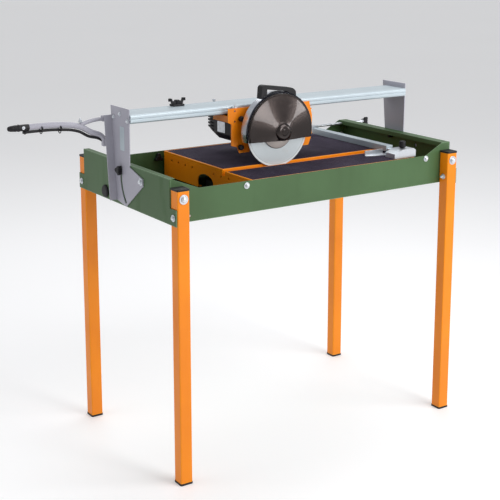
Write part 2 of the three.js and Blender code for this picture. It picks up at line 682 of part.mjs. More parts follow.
add("carriage", carriage(), "orange");

rollerPlaces.forEach(([x, y], i) => {
  const low = railBottom + 1;
  const wheel = cut(
    bar([x, y, low], [x, y, low + roller.height], roller.radius, 24),
    bar([x, y, low - 1], [x, y, low + roller.height + 1], roller.pin + RUN, 16),
  );
  add(`guide_roller_${i + 1}`, wheel, "steel");
});

const motorLeft = bladeX - motor.width / 2;
const motorRight = bladeX + motor.width / 2;
const motorTop = Math.min(motorLow + motor.tall, shelfLow - GAP);
const motorFront = headBack + GAP;
const motorBack = motorFront + motor.length;

/** A box with its two lower long edges cut off at a slant, between two Y values. */
function motorSection(inset) {
  return outline([
    [motorLeft + inset, motorLow + 22 + inset], [motorLeft + 20 + inset, motorLow + inset],
    [motorRight - 20 - inset, motorLow + inset], [motorRight - inset, motorLow + 22 + inset],
    [motorRight - inset, motorTop - 12 - inset * 0.5], [motorRight - 12 - inset, motorTop - inset * 0.5],
    [motorLeft + 12 + inset, motorTop - inset * 0.5], [motorLeft + inset, motorTop - 12 - inset * 0.5],
  ]);
}
const arborBore = bar(
  [bladeX, motorFront - 1, bladeZ],
  [bladeX, motorFront + 62, bladeZ],
  arbor.radius + RUN, 24,
);
add("motor", cut(sheetY(motorSection(0), motorFront, motorBack), arborBore), "plastic");

/** The rear cover: stepped ribs that get smaller towards the back. */
function fanCover() {
  const steps = 6;
  const deep = motor.cover / steps;
  const parts = [];
  for (let i = 0; i < steps; i += 1) {
    const from = motorBack + GAP + i * deep;
    const overlap = i < steps - 1 ? 0.1 : 0;
    parts.push(sheetY(motorSection((i / steps) * motor.coverTaper), from, from + deep + overlap));
  }
  const grooves = [];
  for (let z = motorLow + 26; z < motorTop - 16; z += 11) {
    const depths = [motorBack + 14, motorBack + motor.cover + 2];
    grooves.push(block3([motorLeft - 5, depths[0], z], [motorLeft + 20, depths[1], z + 4]));
    grooves.push(block3([motorRight - 20, depths[0], z], [motorRight + 5, depths[1], z + 4]));
  }
  return cut(join(...parts), ...grooves);
}
add("motor_rear_cover", fanCover(), "plastic");

const bladeFront = slot.y - blade.thick / 2;
const bladeBack = slot.y + blade.thick / 2;
const shaftBack = motorFront + 58;
const shaft = join(
  bar([bladeX, shaftBack, bladeZ], [bladeX, bladeBack + GAP, bladeZ], arbor.radius, 24),
  bar(
    [bladeX, bladeBack + GAP + 0.2, bladeZ],
    [bladeX, bladeFront - flange.thick - arbor.nutTall - 2, bladeZ],
    blade.bore, 24,
  ),
  bar(
    [bladeX, bladeBack + GAP + flange.thick, bladeZ],
    [bladeX, bladeBack + GAP, bladeZ],
    flange.radius - 22, 32,
  ),
);
add("arbor", shaft, "steel");
const disc = cut(
  bar([bladeX, bladeBack, bladeZ], [bladeX, bladeFront, bladeZ], blade.radius, 60),
  bar([bladeX, bladeBack + 1, bladeZ], [bladeX, bladeFront - 1, bladeZ], blade.bore + RUN, 24),
);
add("blade", disc, "steel");
const flangeProfile = [
  [blade.bore + RUN, 0], [flange.radius, 0], [flange.radius, 2], [flange.hub + 6, flange.thick],
  [blade.bore + RUN, flange.thick], [blade.bore + RUN, 0],
];
const flangePlace = [bladeX, bladeFront - GAP, bladeZ];
add("blade_flange", turned(flangeProfile, flangePlace, Y.clone().negate(), 40), "steel");
const nutFront = bladeFront - GAP * 2 - flange.thick;
add("arbor_nut", cut(
  bar([bladeX, nutFront, bladeZ], [bladeX, nutFront - arbor.nutTall, bladeZ], arbor.nut, 6),
  bar([bladeX, nutFront + 1, bladeZ], [bladeX, nutFront - arbor.nutTall - 1, bladeZ], blade.bore + RUN, 24),
), "steel");

// ---- Guard over the blade: a band, a dished cover, a handle and a splash flap ----

const guardBack = slot.y + guard.behind;

/** The guard's outline in (X, Z): a circle cut off along a chord below the blade's axis. */
function guardShape(radius) {
  const dip = Math.asin((bladeZ - guardChord) / radius);
  const shape = new THREE.Shape();
  shape.absarc(bladeX, bladeZ, radius, -dip, Math.PI + dip, false);
  return shape;
}
const bandOuter = sheetY(guardShape(guardRadius), guardFront, guardBack, 40);
const bandInner = sheetY(
  guardShape(guardRadius - guard.wall * 2), guardFront - 1, guardBack - guard.wall, 40,
);
const bandMouth = block3(
  [bladeX - guardRadius + 6, guardFront - 1, guardChord - 1],
  [bladeX + guardRadius - 6, guardBack - guard.wall, guardChord + 8],
);
const boss = bar([bladeX, guardBack - 1, bladeZ], [bladeX, headFront - GAP, bladeZ], guard.boss, 36);
const shaftWay = bar([bladeX, headFront + 1, bladeZ], [bladeX, guardBack - 5, bladeZ], arbor.radius + 2, 30);
add("guard_band", cut(join(bandOuter, boss), bandInner, bandMouth, shaftWay), "steel");

/** The dished cover: a shallow cone with a domed hub, cut off along the chord. */
function guardCover() {
  const outer = guardRadius - 5;
  const dish = [
    [0, guard.dome + 6], [guard.hub * 0.6, guard.dome + 5], [guard.hub, guard.dome + 1],
    [guard.hub, guard.dome - 1], [outer, guard.wall], [outer, 0],
    [guard.hub, guard.dome - 4], [0, guard.dome - 4],
  ];
  const full = turned(dish.slice().reverse(), [bladeX, guardFront - GAP, bladeZ], Y.clone().negate(), 64);
  const below = block3(
    [bladeX - guardRadius - 5, guardFront - 40, bladeZ - guardRadius - 5],
    [bladeX + guardRadius + 5, guardFront + 5, guardChord],
  );
  return cut(full, below);
}
add("guard_cover", guardCover(), "plastic");

const gripMid = slot.y + 4;
const gripHalf = grip.length / 2;
const gripLeft = bladeX - gripHalf;
const gripRight = bladeX + gripHalf;
const gripRoot = bladeZ + guardRadius - grip.root;

/** The height of the grip's top, which falls towards the right. */
function gripHeight(x) {
  return gripTop - (grip.slope * (x - gripLeft)) / grip.length;
}
const gripShape = new THREE.Shape();
gripShape.moveTo(gripLeft, gripRoot);
gripShape.lineTo(gripLeft + 4, gripHeight(gripLeft) - grip.round / 2);
gripShape.quadraticCurveTo(gripLeft + 8, gripTop, gripLeft + grip.round, gripHeight(gripLeft + grip.round));
gripShape.lineTo(gripRight - grip.round, gripHeight(gripRight - grip.round));
gripShape.quadraticCurveTo(
  gripRight - 8, gripHeight(gripRight), gripRight - 3, gripHeight(gripRight) - grip.round / 2,
);
gripShape.lineTo(gripRight, gripRoot);
const openingLeft = bladeX - grip.opening / 2 - 6;
const openingRight = openingLeft + grip.opening;
const fingerRoom = outline([
  [openingLeft, gripRoot + 6], [openingRight, gripRoot + 6],
  [openingRight, gripHeight(openingRight) - grip.thick], [openingLeft, gripHeight(openingLeft) - grip.thick],
]);
const gripBody = cut(
  sheetY(gripShape, gripMid - grip.depth / 2, gripMid + grip.depth / 2, 6),
  sheetY(guardShape(guardRadius + GAP), gripMid - grip.depth, gripMid + grip.depth, 40),
  sheetY(fingerRoom, gripMid - grip.depth, gripMid + grip.depth),
);
add("handle", gripBody, "plastic");
const headKnobZ = [headTop - 34, headLow + 20];
headKnobZ.forEach((z, i) => {
  const x = headX + 44 - i * 2;
  const knob = thumbKnob([x, headFront - GAP, z], Y.clone().negate(), 9, 16, 0);
  add(`head_knob_${i + 1}`, knob, "plastic");
});

// ---- Switch box on the motor's right side, with its two buttons ----

const boxX = motorRight + GAP;
const boxRight = boxX + box.depth;
const boxY = motorFront + 40;
const boxLow = bladeZ - box.tall / 2;
const buttonZ = bladeZ;
const buttonY = [boxY + 22, boxY + box.width - 22];
const boxBody = block3([boxX, boxY, boxLow], [boxRight, boxY + box.width, boxLow + box.tall]);
const wells = buttonY.map((y) => (
  bar([boxRight - box.well, y, buttonZ], [boxRight + 1, y, buttonZ], box.button + RUN, 20)
));
add("switch_box", cut(boxBody, ...wells), "plastic");
["start", "stop"].forEach((name, i) => {
  const from = [boxRight - 14 + GAP + box.press, buttonY[i], buttonZ];
  const to = [boxRight + 5, buttonY[i], buttonZ];
  add(`${name}_button`, bar(from, to, box.button, 20), name === "start" ? "start" : "red");
});

// ---- The part's frame: its origin is under the middle of its bounding box, on the floor ----

const whole = new THREE.Box3().setFromObject(machine);
const middle = whole.getCenter(new THREE.Vector3());
machine.position.set(-middle.x, -middle.y, 0);

export default machine;
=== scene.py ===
# %% [markdown]
# # A bridge tile cutter
# A wet saw for long tiles: a green water tank on four orange legs, a table with ribbed mats, and a
# tilting bridge whose aluminium rail carries a motor head. The frame below is the machine's working
# model, so every piece takes its size and place from it. Blender adds the folded edges, the turned
# and moulded shapes, the fasteners and the finishes.

# %% Load the frame
import json
import math

import bmesh
import bpy
from mathutils import Matrix, Vector


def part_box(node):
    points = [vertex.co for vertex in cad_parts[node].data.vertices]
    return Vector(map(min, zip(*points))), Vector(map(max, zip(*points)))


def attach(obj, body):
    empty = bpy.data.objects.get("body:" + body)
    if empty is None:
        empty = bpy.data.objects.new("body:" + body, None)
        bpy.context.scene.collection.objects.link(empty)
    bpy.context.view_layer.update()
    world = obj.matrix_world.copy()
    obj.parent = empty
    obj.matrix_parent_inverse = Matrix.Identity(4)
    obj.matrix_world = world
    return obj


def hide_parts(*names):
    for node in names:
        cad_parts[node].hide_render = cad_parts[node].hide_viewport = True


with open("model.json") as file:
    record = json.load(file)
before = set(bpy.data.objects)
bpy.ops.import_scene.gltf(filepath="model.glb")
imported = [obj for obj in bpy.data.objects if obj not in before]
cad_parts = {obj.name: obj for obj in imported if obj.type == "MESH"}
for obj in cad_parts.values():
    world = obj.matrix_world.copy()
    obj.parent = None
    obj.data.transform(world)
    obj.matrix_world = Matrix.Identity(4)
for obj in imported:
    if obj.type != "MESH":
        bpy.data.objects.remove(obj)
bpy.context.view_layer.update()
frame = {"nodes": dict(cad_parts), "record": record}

# %% [markdown]
# ## Camera, light and floor
# The camera comes first, so that everything after it can be judged in its view. It stands a little
# above the table and to the left of the machine. A long lens keeps the legs nearly parallel, and a
# small upward shift keeps them upright.

# %% The camera
VIEW_TURN = math.radians(-33.517)
VIEW_TILT = math.radians(12.047)
VIEW_DISTANCE = 3.9367
VIEW_CENTRE = Vector((0.1122, 0.1006, 0.8190))


def from_angles(turn, tilt):
    """The unit vector from an object towards a viewer at this turn and height angle."""
    flat = math.cos(tilt)
    return Vector((math.sin(turn) * flat, -math.cos(turn) * flat, math.sin(tilt)))


def aim(thing, place, target):
    """Puts a camera or lamp at a place and points it at a target."""
    thing.location = place
    thing.rotation_euler = (target - place).to_track_quat("-Z", "Y").to_euler()


bpy.ops.object.camera_add()
camera = bpy.context.object
camera.name = "camera"
camera.data.lens = 83.395
camera.data.sensor_width = 36
camera.data.shift_y = -0.15
aim(camera, VIEW_CENTRE + from_angles(VIEW_TURN, VIEW_TILT) * VIEW_DISTANCE, VIEW_CENTRE)
bpy.context.scene.camera = camera

# %% Soft studio lamps
LAMPS = {
    "key_lamp": dict(turn=24, tilt=36, away=3.4, size=2.2, power=66),
    "left_fill_lamp": dict(turn=-105, tilt=24, away=4.2, size=2.2, power=16),
    "top_lamp": dict(turn=150, tilt=62, away=3.2, size=2.6, power=46),
    "near_card": dict(turn=16, tilt=8, away=3.6, size=0.7, power=16),
    "side_card": dict(turn=50, tilt=8, away=3.6, size=0.6, power=14),
}
for name, lamp in LAMPS.items():
    bpy.ops.object.light_add(type="AREA")
    light = bpy.context.object
    light.name = name
    light.data.size = lamp["size"]
    light.data.energy = lamp["power"]
    aim(
        light,
        VIEW_CENTRE + from_angles(math.radians(lamp["turn"]), math.radians(lamp["tilt"])) * lamp["away"],
        VIEW_CENTRE,
    )
world = bpy.data.worlds.new("studio")
world.use_nodes = True
world.node_tree.nodes["Background"].inputs["Color"].default_value = (0.95, 0.96, 0.98, 1)
world.node_tree.nodes["Background"].inputs["Strength"].default_value = 0.52
bpy.context.scene.world = world
bpy.context.scene.view_settings.view_transform = "Standard"
print("lamps", list(LAMPS))

# %% [markdown]
# ## Writing finishes as formulas
# A finish is a few masks and mixes. Written as nodes by hand they are hard to read, so `Wire` wraps
# a socket and lets Python's own operators add the Math nodes. `Finish` holds one material, and its
# `node` method adds any other node from a type, its settings and its sockets.


# %% Wires and finishes
class Wire:
    """A number or colour flowing out of a node. Operators on it add Math nodes."""

    def __init__(self, finish, socket):
        self.finish = finish
        self.socket = socket

    def math(self, operation, *others, clamp=False):
        settings = {"operation": operation, "use_clamp": clamp}
        values = {i: value for i, value in enumerate((self, *others))}
        return self.finish.node("ShaderNodeMath", settings, values)

    def __add__(self, other):
        return self.math("ADD", other)

    def __sub__(self, other):
        return self.math("SUBTRACT", other)

    def __rsub__(self, other):
        return self.finish.node("ShaderNodeMath", {"operation": "SUBTRACT"}, {0: other, 1: self})

    def __mul__(self, other):
        return self.math("MULTIPLY", other)

    def __truediv__(self, other):
        return self.math("DIVIDE", other)

    def __pow__(self, other):
        return self.math("POWER", other)

    __radd__ = __add__
    __rmul__ = __mul__

    def step(self, low, high):
        """0 below low, 1 above high, and smooth between them."""
        values = {"Value": self, "From Min": low, "From Max": high, "To Min": 0.0, "To Max": 1.0}
        return self.finish.node("ShaderNodeMapRange", {"interpolation_type": "SMOOTHSTEP"}, values)


class Finish:
    """One material, whose parts are read from the piece's own Object coordinates."""

    def __init__(self, name):
        self.material = bpy.data.materials.new(name)
        self.material.use_nodes = True
        self.tree = self.material.node_tree
        self.shader = self.tree.nodes["Principled BSDF"]
        self.place = self.node("ShaderNodeTexCoord", {}, {}, "Object")

    def node(self, kind, settings, values, out=0):
        """Adds a node: its settings first, then the value or link of each socket."""
        node = self.tree.nodes.new(kind)
        for key, value in settings.items():
            setattr(node, key, value)
        for key, value in values.items():
            if isinstance(value, Wire):
                self.tree.links.new(value.socket, node.inputs[key])
            else:
                node.inputs[key].default_value = value
        return Wire(self, node.outputs[out])

    def axes(self):
        """The piece's X, Y and Z, in metres, as three wires."""
        split = self.node("ShaderNodeSeparateXYZ", {}, {0: self.place})
        outs = split.socket.node.outputs
        return [Wire(self, outs[i]) for i in range(3)]

    def noise(self, scale, detail=3.0, stretch=(1, 1, 1), rough=0.5):
        """Cloudy noise, with its grain stretched along an axis where that scale is small."""
        at = self.node("ShaderNodeMapping", {}, {"Vector": self.place, "Scale": stretch})
        values = {"Vector": at, "Scale": scale, "Detail": detail, "Roughness": rough}
        return self.node("ShaderNodeTexNoise", {}, values, "Fac")

    def blend(self, mask, low, high):
        """One colour where the mask is 0 and another where it is 1."""
        values = {0: mask, 6: low, 7: high}
        return self.node("ShaderNodeMix", {"data_type": "RGBA"}, values, 2)

    def bump(self, height, distance, strength=1.0, under=None):
        """A relief of this height in metres, over another relief if there is one."""
        values = {"Height": height, "Distance": distance, "Strength": strength}
        if under:
            values["Normal"] = under
        return self.node("ShaderNodeBump", {}, values)

    def set(self, **sockets):
        """Sets the shader's sockets; an underscore in a name stands for a space."""
        for key, value in sockets.items():
            socket = self.shader.inputs[key.replace("_", " ")]
            if isinstance(value, Wire):
                self.tree.links.new(value.socket, socket)
            else:
                socket.default_value = value
        return self.material


def rgb(red, green, blue):
    """A colour with full opacity, in linear light."""
    return (red, green, blue, 1.0)


# %% [markdown]
# ## Painted sheet and tube
# The legs, table and carriage are powder coated, and the tank and uprights are sprayed. Paint on
# sheet metal has a fine orange peel, is a little thinner and brighter along its folded edges, and
# carries faint water marks. An edge of a box is where two of the distances to its faces are small,
# so the edge mask is worked out from the piece's own corners.


# %% The edge mask and the paints
def edge_mask(finish, low, high, width):
    """1 along the edges of a box and 0 on its faces."""
    near = []
    for wire, start, end in zip(finish.axes(), low, high):
        from_start = (wire - start).math("ABSOLUTE")
        from_end = (wire - end).math("ABSOLUTE")
        near.append(1 - from_start.math("MINIMUM", from_end).step(0.0, width))
    pairs = [near[0] * near[1], near[1] * near[2], near[2] * near[0]]
    return pairs[0].math("MAXIMUM", pairs[1]).math("MAXIMUM", pairs[2])


def paint(name, box, shade, dark, bright, rough, peel=0.00006):
    """A coat of paint on folded sheet or tube, worn where hands and tiles rub its edges."""
    finish = Finish(name)
    low, high = box
    clouds = finish.noise(4.5, detail=5).step(0.32, 0.7)
    streaks = finish.noise(26, detail=4, stretch=(1, 1, 0.18)).step(0.5, 0.78)
    grain = finish.noise(1500, detail=2)
    chips = finish.noise(170, detail=4, rough=0.65).step(0.6, 0.67)
    edges = edge_mask(finish, low, high, 0.0035)
    colour = finish.blend(clouds * 0.6, shade, dark)
    colour = finish.blend(streaks * 0.2, colour, dark)
    colour = finish.blend(edges * 0.55, colour, bright)
    colour = finish.blend(edges * chips * 0.6, colour, dark)
    relief = finish.bump(grain, peel, 0.6)
    relief = finish.bump(clouds, 0.0004, 0.25, relief)
    wet = rough + streaks * 0.14 - edges * 0.08 + grain * 0.05
    finish.set(Base_Color=colour, Roughness=wet, Normal=relief)
    return finish.set(Specular_IOR_Level=0.32, Coat_Weight=0.06, Coat_Roughness=0.2)


ORANGE = (rgb(0.86, 0.245, 0.0), rgb(0.72, 0.18, 0.0), rgb(0.98, 0.38, 0.0))
GREEN = (rgb(0.060, 0.122, 0.046), rgb(0.043, 0.088, 0.030), rgb(0.20, 0.31, 0.18))
LILAC = (rgb(0.40, 0.395, 0.45), rgb(0.33, 0.325, 0.38), rgb(0.56, 0.555, 0.62))
ROUGH_OF = {"orange": 0.36, "green": 0.42, "lilac": 0.38}


def orange_coat(name, box):
    return paint(name + "_orange_coat", box, *ORANGE, ROUGH_OF["orange"])


def green_coat(name, box):
    return paint(name + "_green_coat", box, *GREEN, ROUGH_OF["green"])


def lilac_coat(name, box):
    return paint(name + "_lilac_coat", box, *LILAC, ROUGH_OF["lilac"])


# %% [markdown]
# ## Bare metal
# Three metals show: the rail is drawn aluminium, so its fine lines run along it; the fasteners and
# the clamp block are zinc plated, which is cloudy and faintly blue; the blade is ground, so its
# lines are circles round the arbor.


# %% Aluminium, zinc and the ground blade
def drawn_aluminium(name, box):
    """A drawn profile with die lines along X."""
    finish = Finish(name + "_drawn_aluminium")
    lines = finish.noise(60, detail=6, stretch=(0.015, 9, 9), rough=0.6)
    clouds = finish.noise(7, detail=3).step(0.3, 0.75)
    smears = finish.noise(30, detail=5, stretch=(0.3, 1, 1)).step(0.55, 0.8)
    colour = finish.blend(lines, rgb(0.40, 0.47, 0.51), rgb(0.56, 0.63, 0.67))
    colour = finish.blend(clouds * 0.3, colour, rgb(0.38, 0.45, 0.50))
    relief = finish.bump(lines, 0.00004, 0.4)
    rough = 0.36 + lines * 0.10 + smears * 0.12
    return finish.set(Base_Color=colour, Roughness=rough, Metallic=0.35, Normal=relief)


def zinc(name, box):
    """Zinc plate, with cloudy spangle and a few dull spots."""
    finish = Finish(name + "_zinc")
    spangle = finish.noise(420, detail=3, rough=0.6)
    dull = finish.noise(90, detail=4).step(0.5, 0.72)
    colour = finish.blend(spangle, rgb(0.58, 0.61, 0.66), rgb(0.72, 0.75, 0.78))
    colour = finish.blend(dull * 0.3, colour, rgb(0.47, 0.46, 0.43))
    relief = finish.bump(spangle, 0.00001, 0.3)
    rough = 0.27 + dull * 0.16 + spangle * 0.06
    return finish.set(Base_Color=colour, Roughness=rough, Metallic=0.8, Normal=relief)


def rings_about(finish, centre, along="Y"):
    """The distance from an axis along Y or X through a point, in metres."""
    x, y, z = finish.axes()
    first, second = {"Y": (x - centre[0], z - centre[2]), "X": (y - centre[1], z - centre[2])}[along]
    return (first * first + second * second) ** 0.5


def ring_grain(finish, reach, scale, detail):
    """Noise that changes only with the distance from an axis, as tool marks do."""
    values = {"W": reach * scale, "Detail": detail}
    return finish.node("ShaderNodeTexNoise", {"noise_dimensions": "1D"}, values, "Fac")


blade_low, blade_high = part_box("blade")
ARBOR = (blade_low + blade_high) / 2
BLADE_RADIUS = (blade_high.x - blade_low.x) / 2
print("arbor at", [round(v, 4) for v in ARBOR], "blade radius", round(BLADE_RADIUS, 4))


def ground_steel(name, box):
    """The blade: a ground body, a paler diamond rim and a dark line where they join."""
    finish = Finish(name + "_ground_steel")
    reach = rings_about(finish, ARBOR)
    rings = ring_grain(finish, reach, 900, 4.0)
    rim = reach.step(BLADE_RADIUS - 0.0085, BLADE_RADIUS - 0.0078)
    join = rim * (1 - reach.step(BLADE_RADIUS - 0.0072, BLADE_RADIUS - 0.0064))
    stain = finish.noise(38, detail=5).step(0.5, 0.75)
    grit = finish.noise(2600, detail=2)
    colour = finish.blend(rings, rgb(0.50, 0.55, 0.57), rgb(0.68, 0.73, 0.75))
    colour = finish.blend(stain * 0.22, colour, rgb(0.52, 0.50, 0.46))
    colour = finish.blend(rim * 0.6, colour, rgb(0.70, 0.73, 0.73))
    colour = finish.blend(join * 0.6, colour, rgb(0.2, 0.2, 0.21))
    relief = finish.bump(rings, 0.00015, 0.5)
    relief = finish.bump(grit * rim, 0.0002, 0.7, relief)
    rough = 0.34 + rings * 0.12 + rim * 0.25
    return finish.set(Base_Color=colour, Roughness=rough, Metallic=0.55 - rim * 0.3, Normal=relief)


def turned_steel(name):
    """The flange: uncoated turned steel with a warm stain and a dark outer edge."""
    finish = Finish(name + "_turned_steel")
    reach = rings_about(finish, ARBOR)
    rings = ring_grain(finish, reach, 1100, 3.0)
    lip = reach.step(FLANGE - 0.0022, FLANGE - 0.0008)
    colour = finish.blend(rings, rgb(0.30, 0.26, 0.24), rgb(0.42, 0.38, 0.36))
    colour = finish.blend(lip * 0.8, colour, rgb(0.06, 0.055, 0.06))
    relief = finish.bump(rings, 0.00008, 0.4)
    return finish.set(Base_Color=colour, Roughness=0.32 + rings * 0.12, Metallic=0.6, Normal=relief)


def polished_steel(name, box):
    """A rolled band: dark along its front half, with a painted silver highlight along its back edge."""
    finish = Finish(name + "_polished_steel")
    wipes = finish.noise(48, detail=5, stretch=(1, 0.2, 1)).step(0.42, 0.75)
    grain = finish.noise(900, detail=3, stretch=(0.1, 3, 0.1))
    # Painted highlight: the back edge is painted silver, standing in for the light the band catches.
    painted_highlight_edge = finish.axes()[1].step(box[1].y - 0.052, box[1].y - 0.050)
    highlight_silver = finish.blend(wipes, rgb(0.62, 0.65, 0.70), rgb(0.46, 0.49, 0.54))
    dark = finish.blend(wipes, rgb(0.035, 0.037, 0.05), rgb(0.06, 0.062, 0.075))
    relief = finish.bump(grain, 0.00003, 0.4)
    rough = 0.24 + wipes * 0.14
    colour = finish.blend(painted_highlight_edge, dark, highlight_silver)
    return finish.set(Base_Color=colour, Roughness=rough, Metallic=0.9, Normal=relief)


# %% [markdown]
# ## Black parts, rubber and buttons
# The guard's cover is spun sheet in gloss black, so it throws the lamps back in fans round its hub.
# The motor, knobs and caps are moulded, with a fine grain. The mats are rubber: dull, with a purple
# cast, paler on the tops of the ribs where tiles have rubbed them.


# %% Enamel, moulded black, rubber and button plastic
def black_enamel(name, box):
    """Gloss black over spun sheet, with faint rings round the arbor."""
    finish = Finish(name + "_black_enamel")
    reach = rings_about(finish, ARBOR)
    rings = ring_grain(finish, reach, 420, 3.0)
    dust = finish.noise(60, detail=6).step(0.52, 0.8)
    specks = finish.noise(1300, detail=1).step(0.72, 0.8)
    colour = finish.blend(dust * 0.15, rgb(0.036, 0.028, 0.026), rgb(0.060, 0.052, 0.047))
    colour = finish.blend(specks * 0.1, colour, rgb(0.12, 0.11, 0.10))
    relief = finish.bump(rings, 0.00012, 0.35)
    rough = 0.20 + dust * 0.06 + rings * 0.05
    return finish.set(Base_Color=colour, Roughness=rough, Metallic=0.9, Normal=relief, Coat_Weight=0.3)


def moulded_black(name, box):
    """Black moulding compound with a fine grain and rubbed edges."""
    finish = Finish(name + "_moulded_black")
    grain = finish.noise(1700, detail=3)
    clouds = finish.noise(20, detail=4).step(0.4, 0.75)
    edges = edge_mask(finish, *box, 0.003)
    colour = finish.blend(clouds, rgb(0.006, 0.0055, 0.007), rgb(0.011, 0.0105, 0.0125))
    colour = finish.blend(edges * 0.4, colour, rgb(0.032, 0.031, 0.036))
    relief = finish.bump(grain, 0.00018, 0.6)
    rough = 0.38 + grain * 0.16 + clouds * 0.1 - edges * 0.06
    return finish.set(Base_Color=colour, Roughness=rough, Normal=relief, Specular_IOR_Level=0.3)


def mat_rubber(name, box):
    """Ribbed rubber, rubbed pale on top and dusty between the ribs."""
    finish = Finish(name + "_mat_rubber")
    height = finish.axes()[2]
    top = height.step(box[1].z - 0.0012, box[1].z)
    worn = finish.noise(9, detail=5).step(0.4, 0.72)
    speck = finish.noise(600, detail=4, rough=0.7)
    colour = finish.blend(speck, rgb(0.012, 0.008, 0.020), rgb(0.036, 0.026, 0.050))
    colour = finish.blend(top * (0.3 + worn * 0.35), colour, rgb(0.085, 0.066, 0.112))
    relief = finish.bump(speck, 0.0003, 0.6)
    rough = 0.62 + speck * 0.25 - worn * top * 0.12
    return finish.set(Base_Color=colour, Roughness=rough, Normal=relief, Specular_IOR_Level=0.3)


def button_plastic(name, box, shade, dark):
    """Glossy coloured plastic, dulled by thumbs."""
    finish = Finish(name + "_button_plastic")
    wear = finish.noise(140, detail=4).step(0.4, 0.7)
    colour = finish.blend(wear * 0.6, shade, dark)
    relief = finish.bump(finish.noise(900), 0.00008, 0.4)
    return finish.set(Base_Color=colour, Roughness=0.22 + wear * 0.16, Normal=relief)


def start_green(name, box):
    return button_plastic(name, box, rgb(0.02, 0.4, 0.07), rgb(0.015, 0.24, 0.05))


def stop_red(name, box):
    return button_plastic(name, box, rgb(0.65, 0.02, 0.015), rgb(0.4, 0.012, 0.01))


SLOTS = {
    "orange_paint": orange_coat,
    "green_paint": green_coat,
    "grey_paint": lilac_coat,
    "aluminium": drawn_aluminium,
    "steel": zinc,
    "blade_steel": ground_steel,
    "guard_metal": polished_steel,
    "black_plastic": moulded_black,
    "black_enamel": black_enamel,
    "rubber_mat": mat_rubber,
    "start_green": start_green,
    "stop_red": stop_red,
}

# %% [markdown]
# ## Working by hand in code
# An operator acts on whatever is selected, so each step starts by selecting nothing. Corners and
# faces are then picked by their place or the way they face. A finished piece has its place in its
# mesh and its object at the origin, as the frame's own nodes do.


# %% Selecting, shaping and finishing
def alone(piece):
    """Makes one piece the only selected and the active one, in object mode."""
    if bpy.context.object and bpy.context.object.mode != "OBJECT":
        bpy.ops.object.mode_set(mode="OBJECT")
    bpy.ops.object.select_all(action="DESELECT")
    piece.select_set(True)
    bpy.context.view_layer.objects.active = piece


def settle(piece):
    """Moves a piece's place, turn and size into its mesh."""
    alone(piece)
    bpy.ops.object.transform_apply(location=True, rotation=True, scale=True)
    return piece


def select_faces(piece, test):
    """In edit mode, selects the faces whose middle and normal pass a test. Returns how many."""
    alone(piece)
    bpy.ops.object.mode_set(mode="EDIT")
    bpy.ops.mesh.select_mode(type="FACE")
    bpy.ops.mesh.select_all(action="DESELECT")
    mesh = bmesh.from_edit_mesh(piece.data)
    chosen = 0
    for face in mesh.faces:
        if test(face.calc_center_median(), face.normal):
            face.select_set(True)
            chosen += 1
    bmesh.update_edit_mesh(piece.data)
    return chosen


def select_edges(piece, test):
    """In edit mode, selects the edges whose two ends pass a test. Returns how many."""
    alone(piece)
    bpy.ops.object.mode_set(mode="EDIT")
    bpy.ops.mesh.select_mode(type="EDGE")
    bpy.ops.mesh.select_all(action="DESELECT")
    mesh = bmesh.from_edit_mesh(piece.data)
    chosen = 0
    for edge in mesh.edges:
        if test(edge.verts[0].co, edge.verts[1].co):
            edge.select_set(True)
            chosen += 1
    bmesh.update_edit_mesh(piece.data)
    return chosen


def done_editing():
    bpy.ops.object.mode_set(mode="OBJECT")


def modify(piece, kind, **settings):
    """Adds a modifier and applies it at once."""
    alone(piece)
    modifier = piece.modifiers.new(kind.lower(), kind)
    for key, value in settings.items():
        setattr(modifier, key, value)
    bpy.ops.object.modifier_apply(modifier=modifier.name)
    return piece


def soften(piece, width, segments=2, angle=40):
    """Rounds a piece's sharp edges and shades the rest smooth."""
    modify(
        piece, "BEVEL", width=width, segments=segments, limit_method="ANGLE",
        angle_limit=math.radians(angle), use_clamp_overlap=True, harden_normals=False,
    )
    alone(piece)
    bpy.ops.object.shade_smooth_by_angle(angle=math.radians(38))
    return piece


def own_box(piece):
    """The lowest and highest corner of a piece's mesh."""
    corners = [vertex.co for vertex in piece.data.vertices]
    low = Vector([min(corner[i] for corner in corners) for i in range(3)])
    high = Vector([max(corner[i] for corner in corners) for i in range(3)])
    return low, high


def mount(piece, name, body, slot, stands_for=()):
    """Names a finished piece, gives it its finish and hangs it on its body."""
    piece.name = name
    piece.data.name = name
    piece.data.materials.clear()
    piece.data.materials.append(SLOTS[slot](name, own_box(piece)))
    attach(piece, body)
    if stands_for:
        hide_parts(*stands_for)
    return piece


# %% Turning on a lathe
def turned(profile, place, along, steps=48):
    """A solid of revolution from (radius, height) points that start and end on its axis."""
    bpy.ops.object.select_all(action="DESELECT")
    bpy.ops.mesh.primitive_plane_add(size=0.001)
    piece = bpy.context.object
    bpy.ops.object.mode_set(mode="EDIT")
    bpy.ops.mesh.select_mode(type="VERT")
    bpy.ops.mesh.select_all(action="SELECT")
    bpy.ops.mesh.merge(type="CENTER")
    bpy.ops.transform.translate(value=(profile[0][0], 0, profile[0][1]))
    for (radius, height), (next_radius, next_height) in zip(profile, profile[1:]):
        step = (next_radius - radius, 0, next_height - height)
        bpy.ops.mesh.extrude_vertices_move(TRANSFORM_OT_translate={"value": step})
    bpy.ops.mesh.select_all(action="SELECT")
    bpy.ops.mesh.spin(steps=steps, angle=math.tau, center=(0, 0, 0), axis=(0, 0, 1))
    bpy.ops.mesh.select_all(action="SELECT")
    bpy.ops.mesh.remove_doubles(threshold=0.000005)
    bpy.ops.mesh.normals_make_consistent(inside=False)
    done_editing()
    return stand(piece, place, along)


def stand(piece, place, along):
    """Turns a piece made along Z to point another way, and puts it at a place."""
    piece.rotation_euler = along.to_track_quat("Z", "Y").to_euler()
    piece.location = place
    return settle(piece)


